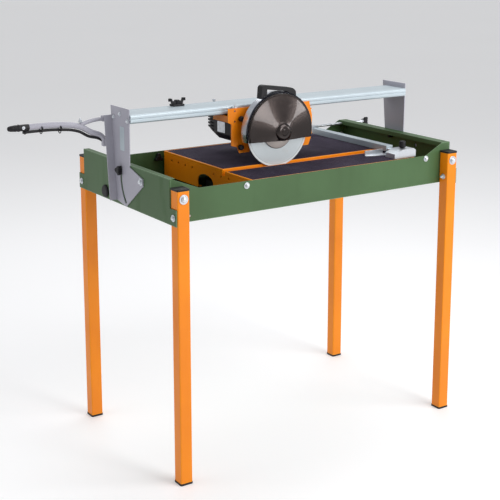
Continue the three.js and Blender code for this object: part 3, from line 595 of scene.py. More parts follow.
def slab(low, high):
    """A cube at a size and place, ready to be shaped."""
    bpy.ops.object.select_all(action="DESELECT")
    low, high = Vector(low), Vector(high)
    bpy.ops.mesh.primitive_cube_add(size=1, location=(low + high) / 2)
    piece = bpy.context.object
    piece.scale = high - low
    return settle(piece)


def joined(*pieces):
    """Several pieces as one mesh; the first one keeps its name."""
    bpy.ops.object.select_all(action="DESELECT")
    for piece in pieces:
        piece.select_set(True)
    bpy.context.view_layer.objects.active = pieces[0]
    bpy.ops.object.join()
    return pieces[0]


def hexagon(across, low, high):
    """A six-sided prism along Z, with its corners chamfered as a nut's are."""
    bpy.ops.object.select_all(action="DESELECT")
    bpy.ops.mesh.primitive_cylinder_add(
        vertices=6, radius=across / 2, depth=high - low, location=(0, 0, (low + high) / 2)
    )
    return soften(settle(bpy.context.object), across * 0.045, 2, 50)


OUT_X, OUT_Y, UP = Vector((1, 0, 0)), Vector((0, 1, 0)), Vector((0, 0, 1))


def spread(pattern, places, name, body, slot, stands_for=()):
    """Copies a pattern piece to several places, each copy with its own mesh, and removes the pattern.

    A place is (point, direction) for the pattern's own origin and Z axis.
    """
    made = []
    for number, (point, along) in enumerate(places, 1):
        twin = pattern.copy()
        twin.data = pattern.data.copy()
        bpy.context.scene.collection.objects.link(twin)
        stand(twin, point, along)
        label = f"{name}_{number}" if len(places) > 1 else name
        made.append(mount(twin, label, body, slot, stands_for))
    bpy.data.objects.remove(pattern)
    return made


# %% [markdown]
# ## Folded sheet and tube
# The frame's solids have knife edges. Real sheet is folded round a radius and a tube has rounded
# corners, and that radius is what catches the light. Each sheet piece is a merged copy of its node
# with its flat faces joined up and its edges rounded. Modelling them again by hand would only risk
# a size that no longer fits.


# %% Rounded copies of the frame's own pieces
BODY_OF = {node: body for body, nodes in frame["record"]["behaviour"]["bodies"].items() for node in nodes}


def merged_copy(node):
    """A copy of a node with its corners welded and its flat faces whole."""
    piece = frame["nodes"][node].copy()
    piece.data = frame["nodes"][node].data.copy()
    bpy.context.scene.collection.objects.link(piece)
    for key in list(piece.keys()):
        del piece[key]
    piece.parent = None
    piece.matrix_world = Matrix.Identity(4)
    alone(piece)
    bpy.ops.object.mode_set(mode="EDIT")
    bpy.ops.mesh.select_all(action="SELECT")
    bpy.ops.mesh.remove_doubles(threshold=0.00002)
    bpy.ops.mesh.dissolve_limited(angle_limit=math.radians(0.6))
    done_editing()
    return piece


def even_shading(piece):
    """Keeps wide flat faces flat in the shading, and lets only their rounded edges turn."""
    return modify(piece, "WEIGHTED_NORMAL", weight=100, keep_sharp=True)


def rounded(node, slot, width, segments=2):
    """A copy of a node with its edges rounded, which stands for it."""
    piece = even_shading(soften(merged_copy(node), width, segments))
    return mount(piece, node + "_shaped", BODY_OF[node], slot, (node,))


for side in ("left", "right"):
    rounded(f"tank_{side}_wall", "green_paint", 0.0009)
    rounded(f"table_side_{side}", "orange_paint", 0.0008)
    rounded(f"upright_{side}", "grey_paint", 0.001)
for wall in ("tank_front_wall", "tank_back_wall", "tank_floor"):
    rounded(wall, "green_paint", 0.0009)
for part in ("table_main_tray", "table_front_tray"):
    rounded(part, "orange_paint", 0.0008)
rounded("fence_bar", "aluminium", 0.0012)
rounded("fence_clamp_block", "steel", 0.0012)
rounded("fence_rod", "steel", 0.0006)
rounded("angle_stop", "steel", 0.0005)
rounded("arbor_nut", "steel", 0.0008)
for part in ("water_pump", "motor", "motor_rear_cover", "switch_box", "rail_clamp", "tilt_knob_left",
             "tilt_knob_right", "fence_pull_knob"):
    rounded(part, "black_plastic", 0.0010)
for part in ("drain_plug", "fence_block_knob", "fence_end_screw", "angle_stop_knob", "head_knob_1",
             "head_knob_2"):
    rounded(part, "black_plastic", 0.0006)
for number in (1, 2, 3, 4):
    rounded(f"guide_roller_{number}", "steel", 0.0008)

# %% The wing knob, with its two wings bent up
wing = merged_copy("rail_clamp_knob")
wing_low, wing_high = own_box(wing)
wing_middle = (wing_low.x + wing_high.x) / 2
WING_INNER = 0.020
select_edges(wing, lambda a, b: min(abs(a.x - wing_middle), abs(b.x - wing_middle)) > WING_INNER)
bpy.ops.transform.translate(value=(0, 0, 0.009))
bpy.ops.mesh.select_all(action="SELECT")
bpy.ops.mesh.quads_convert_to_tris()
done_editing()
even_shading(soften(wing, 0.0008))
mount(wing, "rail_clamp_wing", BODY_OF["rail_clamp_knob"], "black_plastic", ("rail_clamp_knob",))

# %% The carriage, with its roller pins in bare steel
carriage = rounded("carriage", "orange_paint", 0.0008)
rail_low, rail_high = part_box("rail")
carriage.data.materials.append(zinc("roller_pins", own_box(carriage)))
plate_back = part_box("carriage")[0].y + 0.005
pins = 0
for face in carriage.data.polygons:
    if face.center.z > rail_low.z - 0.0028 and face.center.y > plate_back:
        face.material_index = 1
        pins += 1
print("steel faces on the carriage", pins)

# %% [markdown]
# ## Legs and feet
# A leg is a 40 mm square tube, cold formed, so its corners have a radius of about 4 mm. A moulded
# plug closes the top and another is the foot. The tube starts as a cube whose long edges are
# bevelled and whose end is inset and sunk, because that gives round corners inside and out.

# %% Square tubes
TUBE_RADIUS = 0.004
TUBE_WALL = 0.002
foot_low, foot_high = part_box("foot_front_left")
LEG_SIDE = 0.04
FOOT_RIM = ((foot_high.x - foot_low.x) - LEG_SIDE) / 2


def leg_frame(row, column):
    """The lowest and highest corner of a leg's square tube, worked out from its foot."""
    low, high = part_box(f"foot_{row}_{column}")
    tube_low, tube_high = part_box(f"leg_{row}_{column}")
    rim = Vector((FOOT_RIM, FOOT_RIM, 0))
    start = Vector((low.x, low.y, tube_low.z)) + rim
    end = Vector((high.x, high.y, tube_high.z)) - rim
    return start, end


CORNERS = [(row, column) for row in ("front", "back") for column in ("left", "right")]
for row, column in CORNERS:
    low, high = leg_frame(row, column)
    tube = slab(low, high)
    select_edges(tube, lambda a, b: abs(a.x - b.x) < 1e-6 and abs(a.y - b.y) < 1e-6)
    bpy.ops.mesh.bevel(offset=TUBE_RADIUS, segments=5, affect="EDGES")
    for end in (low.z, high.z):
        done_editing()
        select_faces(tube, lambda middle, normal, z=end: abs(middle.z - z) < 1e-5)
        bpy.ops.mesh.inset(thickness=TUBE_WALL, depth=0)
        bpy.ops.transform.translate(value=(0, 0, 0.02 if end == low.z else -0.02))
    done_editing()
    alone(tube)
    bpy.ops.object.shade_smooth_by_angle(angle=math.radians(38))
    even_shading(tube)
    mount(tube, f"leg_{row}_{column}_tube", "stand", "orange_paint", (f"leg_{row}_{column}",))
print("leg tube", [round(v, 4) for v in high - low])

# %% Top caps and feet
CAP_TALL = 0.006
CAP_RADIUS = 0.005


def cap_block(low, high, lift):
    """A moulded square cap: rounded corners, a soft rim and a shallow panel on its outer face."""
    block = slab(low, high)
    select_edges(block, lambda a, b: abs(a.x - b.x) < 1e-6 and abs(a.y - b.y) < 1e-6)
    bpy.ops.mesh.bevel(offset=CAP_RADIUS, segments=4, affect="EDGES")
    done_editing()
    outer = high.z if lift > 0 else low.z
    select_faces(block, lambda middle, normal: abs(middle.z - outer) < 1e-5)
    bpy.ops.mesh.inset(thickness=0.0045, depth=0)
    bpy.ops.mesh.inset(thickness=0.0006, depth=-0.0007)
    done_editing()
    return even_shading(soften(block, 0.0009, 2))


for row, column in CORNERS:
    low, high = leg_frame(row, column)
    rim = Vector((FOOT_RIM, FOOT_RIM, 0))
    cap = cap_block(
        Vector((low.x, low.y, high.z)) - rim, Vector((high.x, high.y, high.z + CAP_TALL)) + rim, 1
    )
    mount(cap, f"leg_cap_{row}_{column}", "stand", "black_plastic")
    foot_low, foot_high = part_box(f"foot_{row}_{column}")
    foot = cap_block(foot_low, Vector((foot_high.x, foot_high.y, low.z - 0.0003)), -1)
    mount(foot, f"foot_{row}_{column}_moulded", "stand", "black_plastic", (f"foot_{row}_{column}",))

# %% [markdown]
# ## Bolts, washers and nuts
# A coach bolt with a wide washer holds each leg to the long wall, and another goes through the tab
# on the end wall. Each sort is modelled once, standing on its own origin, and copied to its places.
# A dome nut is a hexagon with a turned cap on it.

# %% Fastener patterns
WASHER = 0.0145


def washer_profile(radius, tall):
    """A flat disc with softened rims, for turning."""
    soft, rim = 0.0006, 0.0005
    lower = [(0, 0), (radius - soft, 0), (radius, rim)]
    upper = [(radius, tall - rim), (radius - soft, tall), (0, tall)]
    return lower + upper


def dome_bolt(radius, tall):
    """A washer and a domed head, with a hexagon under the dome."""
    washer = turned(washer_profile(radius, 0.002), (0, 0, 0), UP, 40)
    flats = hexagon(radius * 1.30, 0.0019, tall * 0.62)
    half = radius * 0.56
    steps = 7
    quarter = [i / steps * math.pi / 2 for i in range(steps)]
    cap = [(0, 0.002)]
    cap += [(half * math.cos(a), tall * 0.55 + (tall * 0.45) * math.sin(a)) for a in quarter]
    cap += [(0, tall)]
    dome = turned(cap, (0, 0, 0), UP, 32)
    bolt = joined(washer, flats, dome)
    alone(bolt)
    bpy.ops.object.shade_smooth_by_angle(angle=math.radians(35))
    return bolt


def plain_nut(across, tall, thread):
    """A nut on its washer, with the end of the bolt's thread standing out of it."""
    washer = turned(washer_profile(across * 0.72, 0.0015), (0, 0, 0), UP, 32)
    flats = hexagon(across, 0.0014, tall)
    ridges = [(0, 0.001)]
    z = 0.001
    while z < tall + thread:
        ridges += [(across * 0.23, z), (across * 0.26, z + 0.0005)]
        z += 0.001
    ridges += [(across * 0.18, z), (0, z)]
    stud = turned(ridges, (0, 0, 0), UP, 24)
    nut = joined(washer, flats, stud)
    alone(nut)
    bpy.ops.object.shade_smooth_by_angle(angle=math.radians(35))
    return nut


# %% Bolts on the legs and nuts inside them
BOLT_BELOW = 0.024
BOLT_TALL = 0.009
tank_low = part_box("tank_floor")[0]
left_wall, right_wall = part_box("tank_left_wall"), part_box("tank_right_wall")
upper, lower, inner = [], [], []
for row, column in CORNERS:
    low, high = leg_frame(row, column)
    middle = (low + high) / 2
    out_y = -1 if row == "front" else 1
    out_x = -1 if column == "left" else 1
    face_y = low.y if row == "front" else high.y
    face_x = left_wall[0].x if column == "left" else right_wall[1].x
    side_x = high.x if column == "left" else low.x
    tab_z = tank_low.z + BOLT_BELOW
    upper.append((Vector((middle.x, face_y, high.z - BOLT_BELOW)), OUT_Y * out_y))
    lower.append((Vector((face_x, middle.y, tab_z)), OUT_X * out_x))
    inner.append((Vector((side_x, middle.y, tab_z)), OUT_X * -out_x))
spread(dome_bolt(WASHER, BOLT_TALL), upper, "leg_bolt", "stand", "steel")
spread(dome_bolt(0.0105, BOLT_TALL - 0.001), lower, "tab_bolt", "stand", "steel")
spread(plain_nut(0.013, 0.007, 0.006), inner, "tab_nut", "stand", "steel")
print("leg fasteners", len(upper) + len(lower) + len(inner))

# %% Dome nuts on the front wall, and the nuts behind the leg bolts
front_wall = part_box("tank_front_wall")
back_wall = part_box("tank_back_wall")
table_low, table_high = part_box("table_main_tray")
LEFT_NUT, RIGHT_NUT = 0.0230, 0.0420
wall_nuts = [
    (Vector((table_low.x - LEFT_NUT, front_wall[0].y, 0.886)), -OUT_Y),
    (Vector((table_high.x + RIGHT_NUT, front_wall[0].y, 0.890)), -OUT_Y),
]
spread(dome_bolt(0.0098, 0.0085), wall_nuts, "wall_bolt", "stand", "steel")
behind = []
for point, along in upper:
    wall_face = front_wall[1].y if along.y < 0 else back_wall[0].y
    behind.append((Vector((point.x, wall_face, point.z)), -along))
spread(plain_nut(0.015, 0.008, 0.005), behind, "leg_bolt_nut", "stand", "steel")

# %% Bolts through the uprights into the rail
UPRIGHT_SHEET = 0.003
RAIL_BOLTS = ((0.0645, -0.0040), (0.0155, -0.0200), (0.1055, -0.0180))


def upright_face(side, out_x):
    """The X of an upright's outer face, which its bolts sit on."""
    low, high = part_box(f"upright_{side}")
    inner = high.x if side == "left" else low.x
    return inner + out_x * UPRIGHT_SHEET


rail_bolts = []
for side, out_x in (("left", -1), ("right", 1)):
    outer = upright_face(side, out_x)
    for along_y, up in RAIL_BOLTS:
        rail_bolts.append((Vector((outer, rail_low.y + along_y, rail_high.z + up)), OUT_X * out_x))
spread(dome_bolt(0.0075, 0.0065), rail_bolts, "rail_bolt", "bridge", "steel")
for side, out_x in (("left", -1), ("right", 1)):
    low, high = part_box(f"pivot_bolt_{side}")
    at = Vector((upright_face(side, out_x), (low.y + high.y) / 2, (low.z + high.z) / 2))
    head = dome_bolt(0.0115, 0.0095)
    label = f"pivot_bolt_{side}"
    spread(head, [(at, OUT_X * out_x)], label + "_head", "bridge", "steel", (label,))
print("rail bolts", len(rail_bolts))

# %% [markdown]
# ## The rail
# The rail is an aluminium extrusion. Its front face has two rounded bands with a groove between
# them, which the guide rollers run on, and the top has shallow lines from the die. The profile is
# drawn once as an outline and extruded along X. The die lines are in the finish.

# %% The extruded profile
def profile_bar(points, start, end):
    """Extrudes a closed outline of (Y, Z) points from one X to another."""
    bpy.ops.object.select_all(action="DESELECT")
    bpy.ops.mesh.primitive_plane_add(size=0.001)
    piece = bpy.context.object
    bpy.ops.object.mode_set(mode="EDIT")
    bpy.ops.mesh.select_mode(type="VERT")
    bpy.ops.mesh.select_all(action="SELECT")
    bpy.ops.mesh.merge(type="CENTER")
    bpy.ops.transform.translate(value=(start, points[0][0], points[0][1]))
    for (y, z), (next_y, next_z) in zip(points, points[1:]):
        bpy.ops.mesh.extrude_vertices_move(TRANSFORM_OT_translate={"value": (0, next_y - y, next_z - z)})
    bpy.ops.mesh.select_all(action="SELECT")
    bpy.ops.mesh.edge_face_add()
    bpy.ops.mesh.extrude_region_move(TRANSFORM_OT_translate={"value": (end - start, 0, 0)})
    bpy.ops.mesh.select_all(action="SELECT")
    bpy.ops.mesh.normals_make_consistent(inside=False)
    done_editing()
    return piece


def arc(centre, radius, start, end, steps):
    """Points along an arc, by angle in degrees, as (Y, Z)."""
    angles = [math.radians(start + (end - start) * i / steps) for i in range(steps + 1)]
    return [(centre[0] + radius * math.cos(a), centre[1] + radius * math.sin(a)) for a in angles]


tall = rail_high.z - rail_low.z
BAND = 0.0115
GROOVE = 0.0012
front, back = rail_low.y, rail_high.y
upper_band = arc((front + 0.006, rail_high.z - 0.006), 0.006, 90, 180, 6)
upper_band += [(front, rail_high.z - BAND), (front + GROOVE * 1.5, rail_high.z - BAND - GROOVE)]
lower_band = [(front + GROOVE * 1.5, rail_low.z + BAND + GROOVE), (front, rail_low.z + BAND)]
lower_band += arc((front + 0.006, rail_low.z + 0.006), 0.006, 180, 270, 6)
top_line = [(back - 0.022, rail_high.z), (back - 0.0235, rail_high.z - 0.0006), (back - 0.025, rail_high.z)]
outline = upper_band + lower_band + [(back, rail_low.z), (back, rail_high.z)] + top_line
rail = profile_bar(outline, rail_low.x, rail_high.x)
even_shading(soften(rail, 0.0005, 2, 30))
mount(rail, "rail_extrusion", "bridge", "aluminium", ("rail",))
print("rail faces", len(rail.data.polygons))

# %% [markdown]
# ## Ribbed mats
# Each mat is one rubber sheet with ribs across it. The ribs are real, because their tops catch the
# light and tiles rest on them. One rib is a cube with a softened top, and an array repeats it.

# %% The two mats
RIB_PITCH = 0.0048
RIB_TALL = 0.0012
for name in ("mat_main", "mat_front"):
    low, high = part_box(name)
    sheet = slab(low, Vector((high.x, high.y, high.z - RIB_TALL)))
    soften(sheet, 0.0005, 2)
    rib = slab(
        Vector((low.x + 0.003, low.y + 0.0025, high.z - RIB_TALL - 0.0002)),
        Vector((low.x + 0.003 + RIB_PITCH * 0.55, high.y - 0.0025, high.z)),
    )
    select_edges(rib, lambda a, b: a.z > high.z - 1e-5 and b.z > high.z - 1e-5)
    bpy.ops.mesh.bevel(offset=0.0007, segments=2, affect="EDGES")
    done_editing()
    count = int((high.x - low.x - 0.006) / RIB_PITCH)
    modify(
        rib, "ARRAY", count=count, use_relative_offset=False, use_constant_offset=True,
        constant_offset_displace=(RIB_PITCH, 0, 0),
    )
    mat = joined(sheet, rib)
    mount(mat, name + "_ribbed", "stand", "rubber_mat", (name,))
    print(name, "ribs", count)

# %% [markdown]
# ## The guard
# The guard is two pieces: a rolled steel band over the blade, and a spun black cover in front that
# is a shallow cone with a turned boss in the middle. Both stop along a straight chord just below
# the arbor. A cone and its boss are a lathe job, and the chord is a bisect.

# %% The spun cover
cover_low, cover_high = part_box("guard_cover")
band_low, band_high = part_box("guard_band")
COVER_RADIUS = (cover_high.x - cover_low.x) / 2
CHORD = cover_low.z
cover_back = cover_high.y
WALL = 0.0016
BOSS = 0.030
CONE_SHARE = 0.74
rise = cover_back - cover_low.y


def cut_at_chord(piece):
    """Cuts a guard piece off along the chord and closes the cut."""
    alone(piece)
    bpy.ops.object.mode_set(mode="EDIT")
    bpy.ops.mesh.select_all(action="SELECT")
    bpy.ops.mesh.bisect(
        plane_co=(0, 0, CHORD), plane_no=UP, use_fill=True, clear_inner=True, clear_outer=False
    )
    done_editing()


def cover_height(radius):
    """How far the cone stands off the band at a radius: steep near the rim, then nearly straight."""
    share = 1 - radius / COVER_RADIUS
    return WALL + (rise * CONE_SHARE) * share ** 0.9


outer = [(0, rise), (BOSS * 0.30, rise), (BOSS * 0.36, rise - 0.0012), (BOSS * 0.62, rise - 0.0014)]
outer += [(BOSS * 0.80, rise - 0.0030), (BOSS * 0.92, rise - 0.0062), (BOSS, cover_height(BOSS) + 0.0002)]
cone = [BOSS + (COVER_RADIUS - 0.006 - BOSS) * i / 10 for i in range(1, 11)]
outer += [(radius, cover_height(radius)) for radius in cone]
lip = [(0.0042, WALL * 0.7), (0.0022, WALL * 0.9), (0.0004, WALL * 1.5), (0, WALL), (0.0006, 0)]
outer += [(COVER_RADIUS - inset, height) for inset, height in lip]
inside = [(radius, max(height - WALL, 0)) for radius, height in reversed(outer[7:-5])]
profile = outer + inside + [(BOSS * 0.7, rise - 0.0052), (0, rise - 0.0052)]
cover = turned(profile, (ARBOR.x, cover_back, ARBOR.z), -OUT_Y, 128)
cut_at_chord(cover)
bpy.ops.object.shade_smooth_by_angle(angle=math.radians(30))
mount(cover, "guard_cover_spun", "head", "black_enamel", ("guard_cover",))
print("cover radius", round(COVER_RADIUS, 4), "chord", round(CHORD, 4), "faces", len(cover.data.polygons))

# %% The rolled band behind it
BEHIND_BLADE = 0.018
band_outer = (band_high.x - band_low.x) / 2
band_front = band_low.y
rim_back = ARBOR.y + BEHIND_BLADE
inner_radius = band_outer - 0.003
depth = rim_back - band_front
shell = [(0, 0), (band_outer - 0.002, 0), (band_outer, 0.002), (band_outer, depth - 0.004)]
shell += [(band_outer - 0.0006, depth - 0.0015), (band_outer - 0.002, depth)]
shell += [(inner_radius - 0.001, depth - 0.001), (inner_radius, depth - 0.004)]
shell += [(inner_radius, 0.0022), (0, 0.0022)]
band = turned(shell, (ARBOR.x, rim_back, ARBOR.z), -OUT_Y, 128)
cut_at_chord(band)
HUB = 0.046
HUB_BORE = 0.0145
hub_deep = band_high.y - rim_back - 0.0003
hub_profile = [(HUB_BORE, 0), (HUB, 0), (HUB, hub_deep), (HUB_BORE, hub_deep), (HUB_BORE, 0)]
boss = turned(hub_profile, (ARBOR.x, rim_back, ARBOR.z), OUT_Y, 48)
band = joined(band, boss)
alone(band)
bpy.ops.object.shade_smooth_by_angle(angle=math.radians(30))
mount(band, "guard_band_rolled", "head", "guard_metal", ("guard_band",))
print("band radius", round(band_outer, 4), "depth", round(depth, 4))

# %% [markdown]
# ## The blade and its clamping flanges
# The blade is a thin ground disc with a plain hub and a diamond rim that is a little thicker. A
# turned flange and the arbor nut hold it. A real rim stands proud on both sides, so it is modelled.

# %% Blade and flange
blade_mid = (blade_low.y + blade_high.y) / 2
thick = blade_high.y - blade_low.y
body_half = thick * 0.36
RIM = 0.0075
disc_points = [
    (0.0101, -body_half), (BLADE_RADIUS - RIM, -body_half), (BLADE_RADIUS - RIM + 0.0003, -thick / 2),
    (BLADE_RADIUS - 0.0003, -thick / 2), (BLADE_RADIUS, -thick * 0.35), (BLADE_RADIUS, thick * 0.35),
    (BLADE_RADIUS - 0.0003, thick / 2), (BLADE_RADIUS - RIM + 0.0003, thick / 2),
    (BLADE_RADIUS - RIM, body_half), (0.0101, body_half), (0.0101, -body_half),
]
disc = turned(disc_points, (ARBOR.x, blade_mid, ARBOR.z), -OUT_Y, 144)
bpy.ops.object.shade_smooth_by_angle(angle=math.radians(30))
mount(disc, "blade_disc", "blade_set", "blade_steel", ("blade",))
flange_low, flange_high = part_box("blade_flange")
FLANGE = (flange_high.x - flange_low.x) / 2
deep = flange_high.y - flange_low.y
flange_points = [
    (0.0101, 0), (FLANGE - 0.001, 0), (FLANGE, 0.0006), (FLANGE, 0.0018), (FLANGE - 0.0012, 0.0026),
    (FLANGE * 0.72, 0.0030), (FLANGE * 0.66, 0.0024), (FLANGE * 0.52, 0.0024), (FLANGE * 0.46, deep - 0.0008),
    (FLANGE * 0.42, deep), (0.0101, deep), (0.0101, 0),
]
flange = turned(flange_points, (ARBOR.x, flange_high.y, ARBOR.z), -OUT_Y, 96)
bpy.ops.object.shade_smooth_by_angle(angle=math.radians(30))
mount(flange, "blade_flange_turned", "blade_set", "steel", ("blade_flange",))
flange.data.materials.clear()
flange.data.materials.append(turned_steel("blade_flange"))
rounded("arbor", "steel", 0.0005)

# %% The splash flap behind the blade
flap_top = Vector((band_high.x - 0.022, band_front + 0.004, CHORD + 0.003))
flap = slab(
    Vector((flap_top.x, band_front + 0.002, CHORD - 0.0025)),
    Vector((band_high.x + 0.012, rim_back - 0.002, CHORD + 0.004)),
)
select_faces(flap, lambda middle, normal: normal.x > 0.9)
bpy.ops.mesh.extrude_region_move(TRANSFORM_OT_translate={"value": (0.010, 0, -0.002)})
bpy.ops.transform.resize(value=(1, 0.88, 0.7))
done_editing()
soften(flap, 0.001, 2)
mount(flap, "splash_flap", "head", "rubber_mat")

# %% [markdown]
# ## The handle
# The handle is one moulding: a strap with a wide foot on the guard, a grip that falls to the right,
# and a slot for the fingers. It starts from the frame's own shape and gets a large soft radius, as
# a moulding has, which a small bevel can't give.

# %% The moulded handle
handle = merged_copy("handle")
modify(handle, "BEVEL", width=0.0045, segments=4, limit_method="ANGLE", angle_limit=math.radians(42))
alone(handle)
bpy.ops.object.shade_smooth_by_angle(angle=math.radians(42))
even_shading(handle)
mount(handle, "handle_moulded", "head", "black_plastic", ("handle",))

# %% [markdown]
# ## The cable arm
# A bent steel tube, braced to the left upright, carries the supply cable clear of the tiles. The
# cable lies along its underside and cable ties hold it. Tube and cable are curves with a round
# section, which bend smoothly, and each is turned into a mesh when its shape is right.


# %% Tubes along a route
def route_tube(points, radius, sides=4):
    """A round tube along a smooth curve through some points, as a mesh."""
    bpy.ops.object.select_all(action="DESELECT")
    curve = bpy.data.curves.new("route", "CURVE")
    curve.dimensions = "3D"
    spline = curve.splines.new("BEZIER")
    spline.bezier_points.add(len(points) - 1)
    for knot, point in zip(spline.bezier_points, points):
        knot.co = point
        knot.handle_left_type = knot.handle_right_type = "AUTO"
    curve.bevel_depth = radius
    curve.bevel_resolution = sides
    curve.resolution_u = 12
    curve.use_fill_caps = True
    tube = bpy.data.objects.new("route", curve)
    bpy.context.scene.collection.objects.link(tube)
    alone(tube)
    bpy.ops.object.convert(target="MESH")
    bpy.ops.object.shade_smooth_by_angle(angle=math.radians(50))
    return bpy.context.object


arm_low, arm_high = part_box("cable_arm")
plug_low, plug_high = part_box("inlet_plug")
ARM_RADIUS = 0.009
arm_y = (plug_low.y + plug_high.y) / 2
arm_z = (plug_low.z + plug_high.z) / 2
arm_x = arm_high.x - ARM_RADIUS - 0.002
arm_foot = arm_low.z + 0.010
ARM_STEPS = [
    (0, None, 0), (-0.014, None, 0.022), (-0.0484, -0.034, None), (-0.088, -0.013, None),
    (-0.1584, -0.002, None), (-0.21, 0, None),
]
arm_route = []
for shift, from_top, from_foot in ARM_STEPS:
    z = arm_z + from_top if from_foot is None else arm_foot + from_foot
    arm_route.append(Vector((arm_x + shift, arm_y, z)))
arm_route.append(Vector((plug_high.x - 0.026, arm_y, arm_z)))
main_tube = route_tube(arm_route, ARM_RADIUS, 6)
brace_route = [
    Vector((arm_x + 0.002, arm_y, arm_z + 0.004)), Vector((arm_x - 0.040, arm_y, arm_z + 0.002)),
    Vector((arm_x - 0.084, arm_y, arm_z - 0.008)),
]
brace = route_tube(brace_route, ARM_RADIUS - 0.003, 5)
ears = []
for low_z, tall_z in ((arm_low.z, 0.018), (arm_z - 0.004, 0.018)):
    ear = slab(
        (arm_x - 0.012, arm_y - 0.009, low_z), (arm_high.x, arm_y + 0.006, low_z + tall_z),
    )
    ears.append(soften(ear, 0.002, 3))
arm = joined(main_tube, brace, *ears)
mount(arm, "cable_arm_bent", "bridge", "grey_paint", ("cable_arm",))
print("arm from", round(arm_route[0].x, 4), "to", round(arm_route[-1].x, 4))

# %% The supply cable under the arm
CABLE_RADIUS = 0.0045
UNDER = ARM_RADIUS + CABLE_RADIUS + 0.0006
cable_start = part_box("supply_cable")[0].x
cable_route = []
for step, point in enumerate(arm_route[1:]):
    lag = (0.010, 0.009, 0.005, 0.002, 0, 0)[step]
    drop = (0.006, 0.012, UNDER, UNDER, UNDER, UNDER)[step]
    cable_route.append(Vector((point.x - lag, arm_y - 0.001, point.z - drop)))
cable_route[-1].x = cable_start + 0.001
cable_route.insert(0, Vector((arm_x - 0.004, arm_y + 0.004, arm_route[0].z + 0.004)))
cable = route_tube(cable_route, CABLE_RADIUS, 5)
mount(cable, "supply_cable_tied", "bridge", "black_plastic", ("supply_cable",))

# %% Ties round the arm and the cable
for number, share in enumerate((0.34, 0.66, 0.93), 1):
    at = arm_route[3].lerp(arm_route[-1], share)
    bpy.ops.object.select_all(action="DESELECT")
    bpy.ops.mesh.primitive_torus_add(
        major_segments=32, minor_segments=8, major_radius=0.0128, minor_radius=0.0011,
        location=(at.x, arm_y, at.z - 0.0045), rotation=(0, math.radians(90), 0),
    )
    tie = bpy.context.object
    tie.scale = (1.12, 0.84, 1.6)
    settle(tie)
    latch = slab((at.x - 0.0025, arm_y - 0.014, at.z - 0.003), (at.x + 0.0025, arm_y - 0.0095, at.z + 0.0025))
    soften(latch, 0.0006, 2)
    tie = joined(tie, latch)
    bpy.ops.object.shade_smooth_by_angle(angle=math.radians(45))
    mount(tie, f"cable_tie_{number}", "bridge", "black_plastic")
screw_at = Vector((plug_high.x - 0.020, arm_y - ARM_RADIUS - 0.0008, arm_z + 0.001))
spread(dome_bolt(0.0052, 0.0048), [(screw_at, -OUT_Y)], "plug_screw", "bridge", "steel")
clip_at = Vector((brace_route[2].x, arm_y, brace_route[2].z + 0.008))
spread(plain_nut(0.010, 0.007, 0.006), [(clip_at, UP)], "brace_bolt", "bridge", "steel")

# %% The moulded plug on the arm's end
length = plug_high.x - plug_low.x
radius = (plug_high.y - plug_low.y) / 2
nose = [(0, 0), (0.42, 0), (0.5, 0.0008), (0.68, 0.003), (0.72, 0.007)]
plug_points = [(radius * share, height) for share, height in nose]
z = 0.009
while z < 0.028:
    wide = radius * (0.74 + 0.22 * z / 0.028)
    plug_points += [(wide, z), (wide, z + 0.0022), (wide * 0.94, z + 0.0028), (wide * 0.94, z + 0.0040)]
    z += 0.0048
plug_points += [(radius, 0.033), (radius, 0.035), (radius * 0.91, 0.038), (radius * 0.91, length - 0.001)]
plug_points += [(radius * 0.87, length), (0.0095, length), (0.0095, 0.040), (0, 0.040)]
plug = turned(plug_points, (plug_low.x, arm_y, arm_z), OUT_X, 40)
bpy.ops.object.shade_smooth_by_angle(angle=math.radians(32))
mount(plug, "inlet_plug_moulded", "bridge", "black_plastic", ("inlet_plug",))

# %% [markdown]
# ## Small fittings
# The rest is what a person sees on looking closer: the table's rubber feet, the clamp knob that
# holds the table to the back wall, a blank rating plate on the motor, a blank label on the left
# upright and the end plug in the folded rim. Plates are thin slabs with rounded corners.

# %% Table feet and the table's clamp knob
side_low, side_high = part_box("table_side_left")
tank_floor_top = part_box("tank_floor")[1].z
FOOT = 0.010
foot_tall = side_low.z - tank_floor_top - 0.0003
foot_points = [(0, 0), (FOOT * 0.86, 0), (FOOT, 0.0016), (FOOT, foot_tall - 0.004)]
foot_points += [(FOOT * 0.8, foot_tall - 0.001), (FOOT * 0.8, foot_tall), (0, foot_tall)]
pad = turned(foot_points, (0, 0, 0), UP, 32)
bpy.ops.object.shade_smooth_by_angle(angle=math.radians(35))
right_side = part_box("table_side_right")
pads = []
for x in (side_low.x + 0.0075, right_side[1].x - 0.0075):
    for y in (side_low.y + 0.022, side_high.y - 0.022):
        pads.append((Vector((x, y, tank_floor_top + 0.0001)), UP))
spread(pad, pads, "table_foot", "stand", "black_plastic")
screws = [(point + UP * (foot_tall + 0.0034), UP) for point, _ in pads]
spread(dome_bolt(0.0062, 0.005), screws, "table_foot_screw", "stand", "steel")

hub = turned(
    [(0, 0), (0.0085, 0), (0.0095, 0.002), (0.0095, 0.012), (0.0075, 0.0145), (0, 0.0145)], (0, 0, 0), UP, 36
)
lobes = [hub]
for turn in range(3):
    angle = math.radians(90 + 120 * turn)
    lobe = turned(
        [(0, 0.001), (0.0050, 0.001), (0.0058, 0.0025), (0.0058, 0.0125), (0.0045, 0.0140), (0, 0.0140)],
        (math.cos(angle) * 0.0098, math.sin(angle) * 0.0098, 0), UP, 24,
    )
    lobes.append(lobe)
lobed = joined(*lobes)
alone(lobed)
bpy.ops.object.shade_smooth_by_angle(angle=math.radians(35))
table_clamp = [(Vector((table_low.x - 0.015, back_wall[0].y, table_high.z - 0.024)), -OUT_Y)]
spread(lobed, table_clamp, "table_clamp_knob", "stand", "black_plastic")

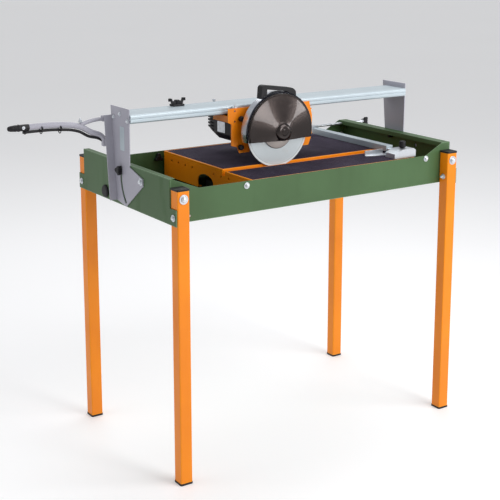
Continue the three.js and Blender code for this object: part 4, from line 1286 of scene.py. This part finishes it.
# %% Blank plates and the rim's end plug
motor_low, motor_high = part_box("motor")
PLATE = 0.0008


def thin_plate(low, high, corner, across):
    """A thin plate with rounded corners; across is the axis of its thickness, 0 for X."""
    plate = slab(low, high)
    select_edges(plate, lambda a, b: abs(a[across] - b[across]) > 1e-5)
    bpy.ops.mesh.bevel(offset=corner, segments=4, affect="EDGES")
    done_editing()
    return even_shading(soften(plate, 0.0002, 2))


rating = thin_plate(
    (motor_low.x - PLATE, motor_high.y - 0.058, motor_low.z + 0.026),
    (motor_low.x + 0.0004, motor_high.y - 0.012, motor_low.z + 0.062), 0.003, 0,
)
mount(rating, "rating_plate", "head", "steel")
label_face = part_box("upright_left")[1].x - 0.003
label = thin_plate(
    (label_face - 0.0005, rail_low.y + 0.038, rail_low.z - 0.088),
    (label_face + 0.0002, rail_low.y + 0.066, rail_low.z - 0.014), 0.004, 0,
)
mount(label, "blank_label", "bridge", "aluminium")
plug = slab(
    (right_wall[0].x - 0.0012, leg_frame("front", "right")[1].y + 0.0005, right_wall[1].z - 0.0150),
    (right_wall[1].x - 0.0028, leg_frame("front", "right")[1].y + 0.0078, right_wall[1].z - 0.0028),
)
even_shading(soften(plug, 0.0014, 3))
mount(plug, "rim_end_plug", "stand", "black_plastic")

# %% The two buttons
for node, slot in {"start_button": "start_green", "stop_button": "stop_red"}.items():
    rounded(node, slot, 0.0008)

# %% [markdown]
# ## The floor
# A plain pale floor, far larger than the machine, so that no edge of it shows.

# %% The floor
bpy.ops.object.select_all(action="DESELECT")
bpy.ops.mesh.primitive_plane_add(size=60, location=(0, 0, -0.0005))
floor = bpy.context.object
floor.name = "studio_floor"
ground = Finish("studio_floor_paper")
tone = ground.noise(0.6, detail=2)
floor.data.materials.append(
    ground.set(
        Base_Color=ground.blend(tone, rgb(0.80, 0.80, 0.81), rgb(0.85, 0.85, 0.86)),
        Emission_Color=rgb(1, 1, 1),
        Emission_Strength=0.22,
        Roughness=0.5 + tone * 0.1,
    )
)
settle(floor)
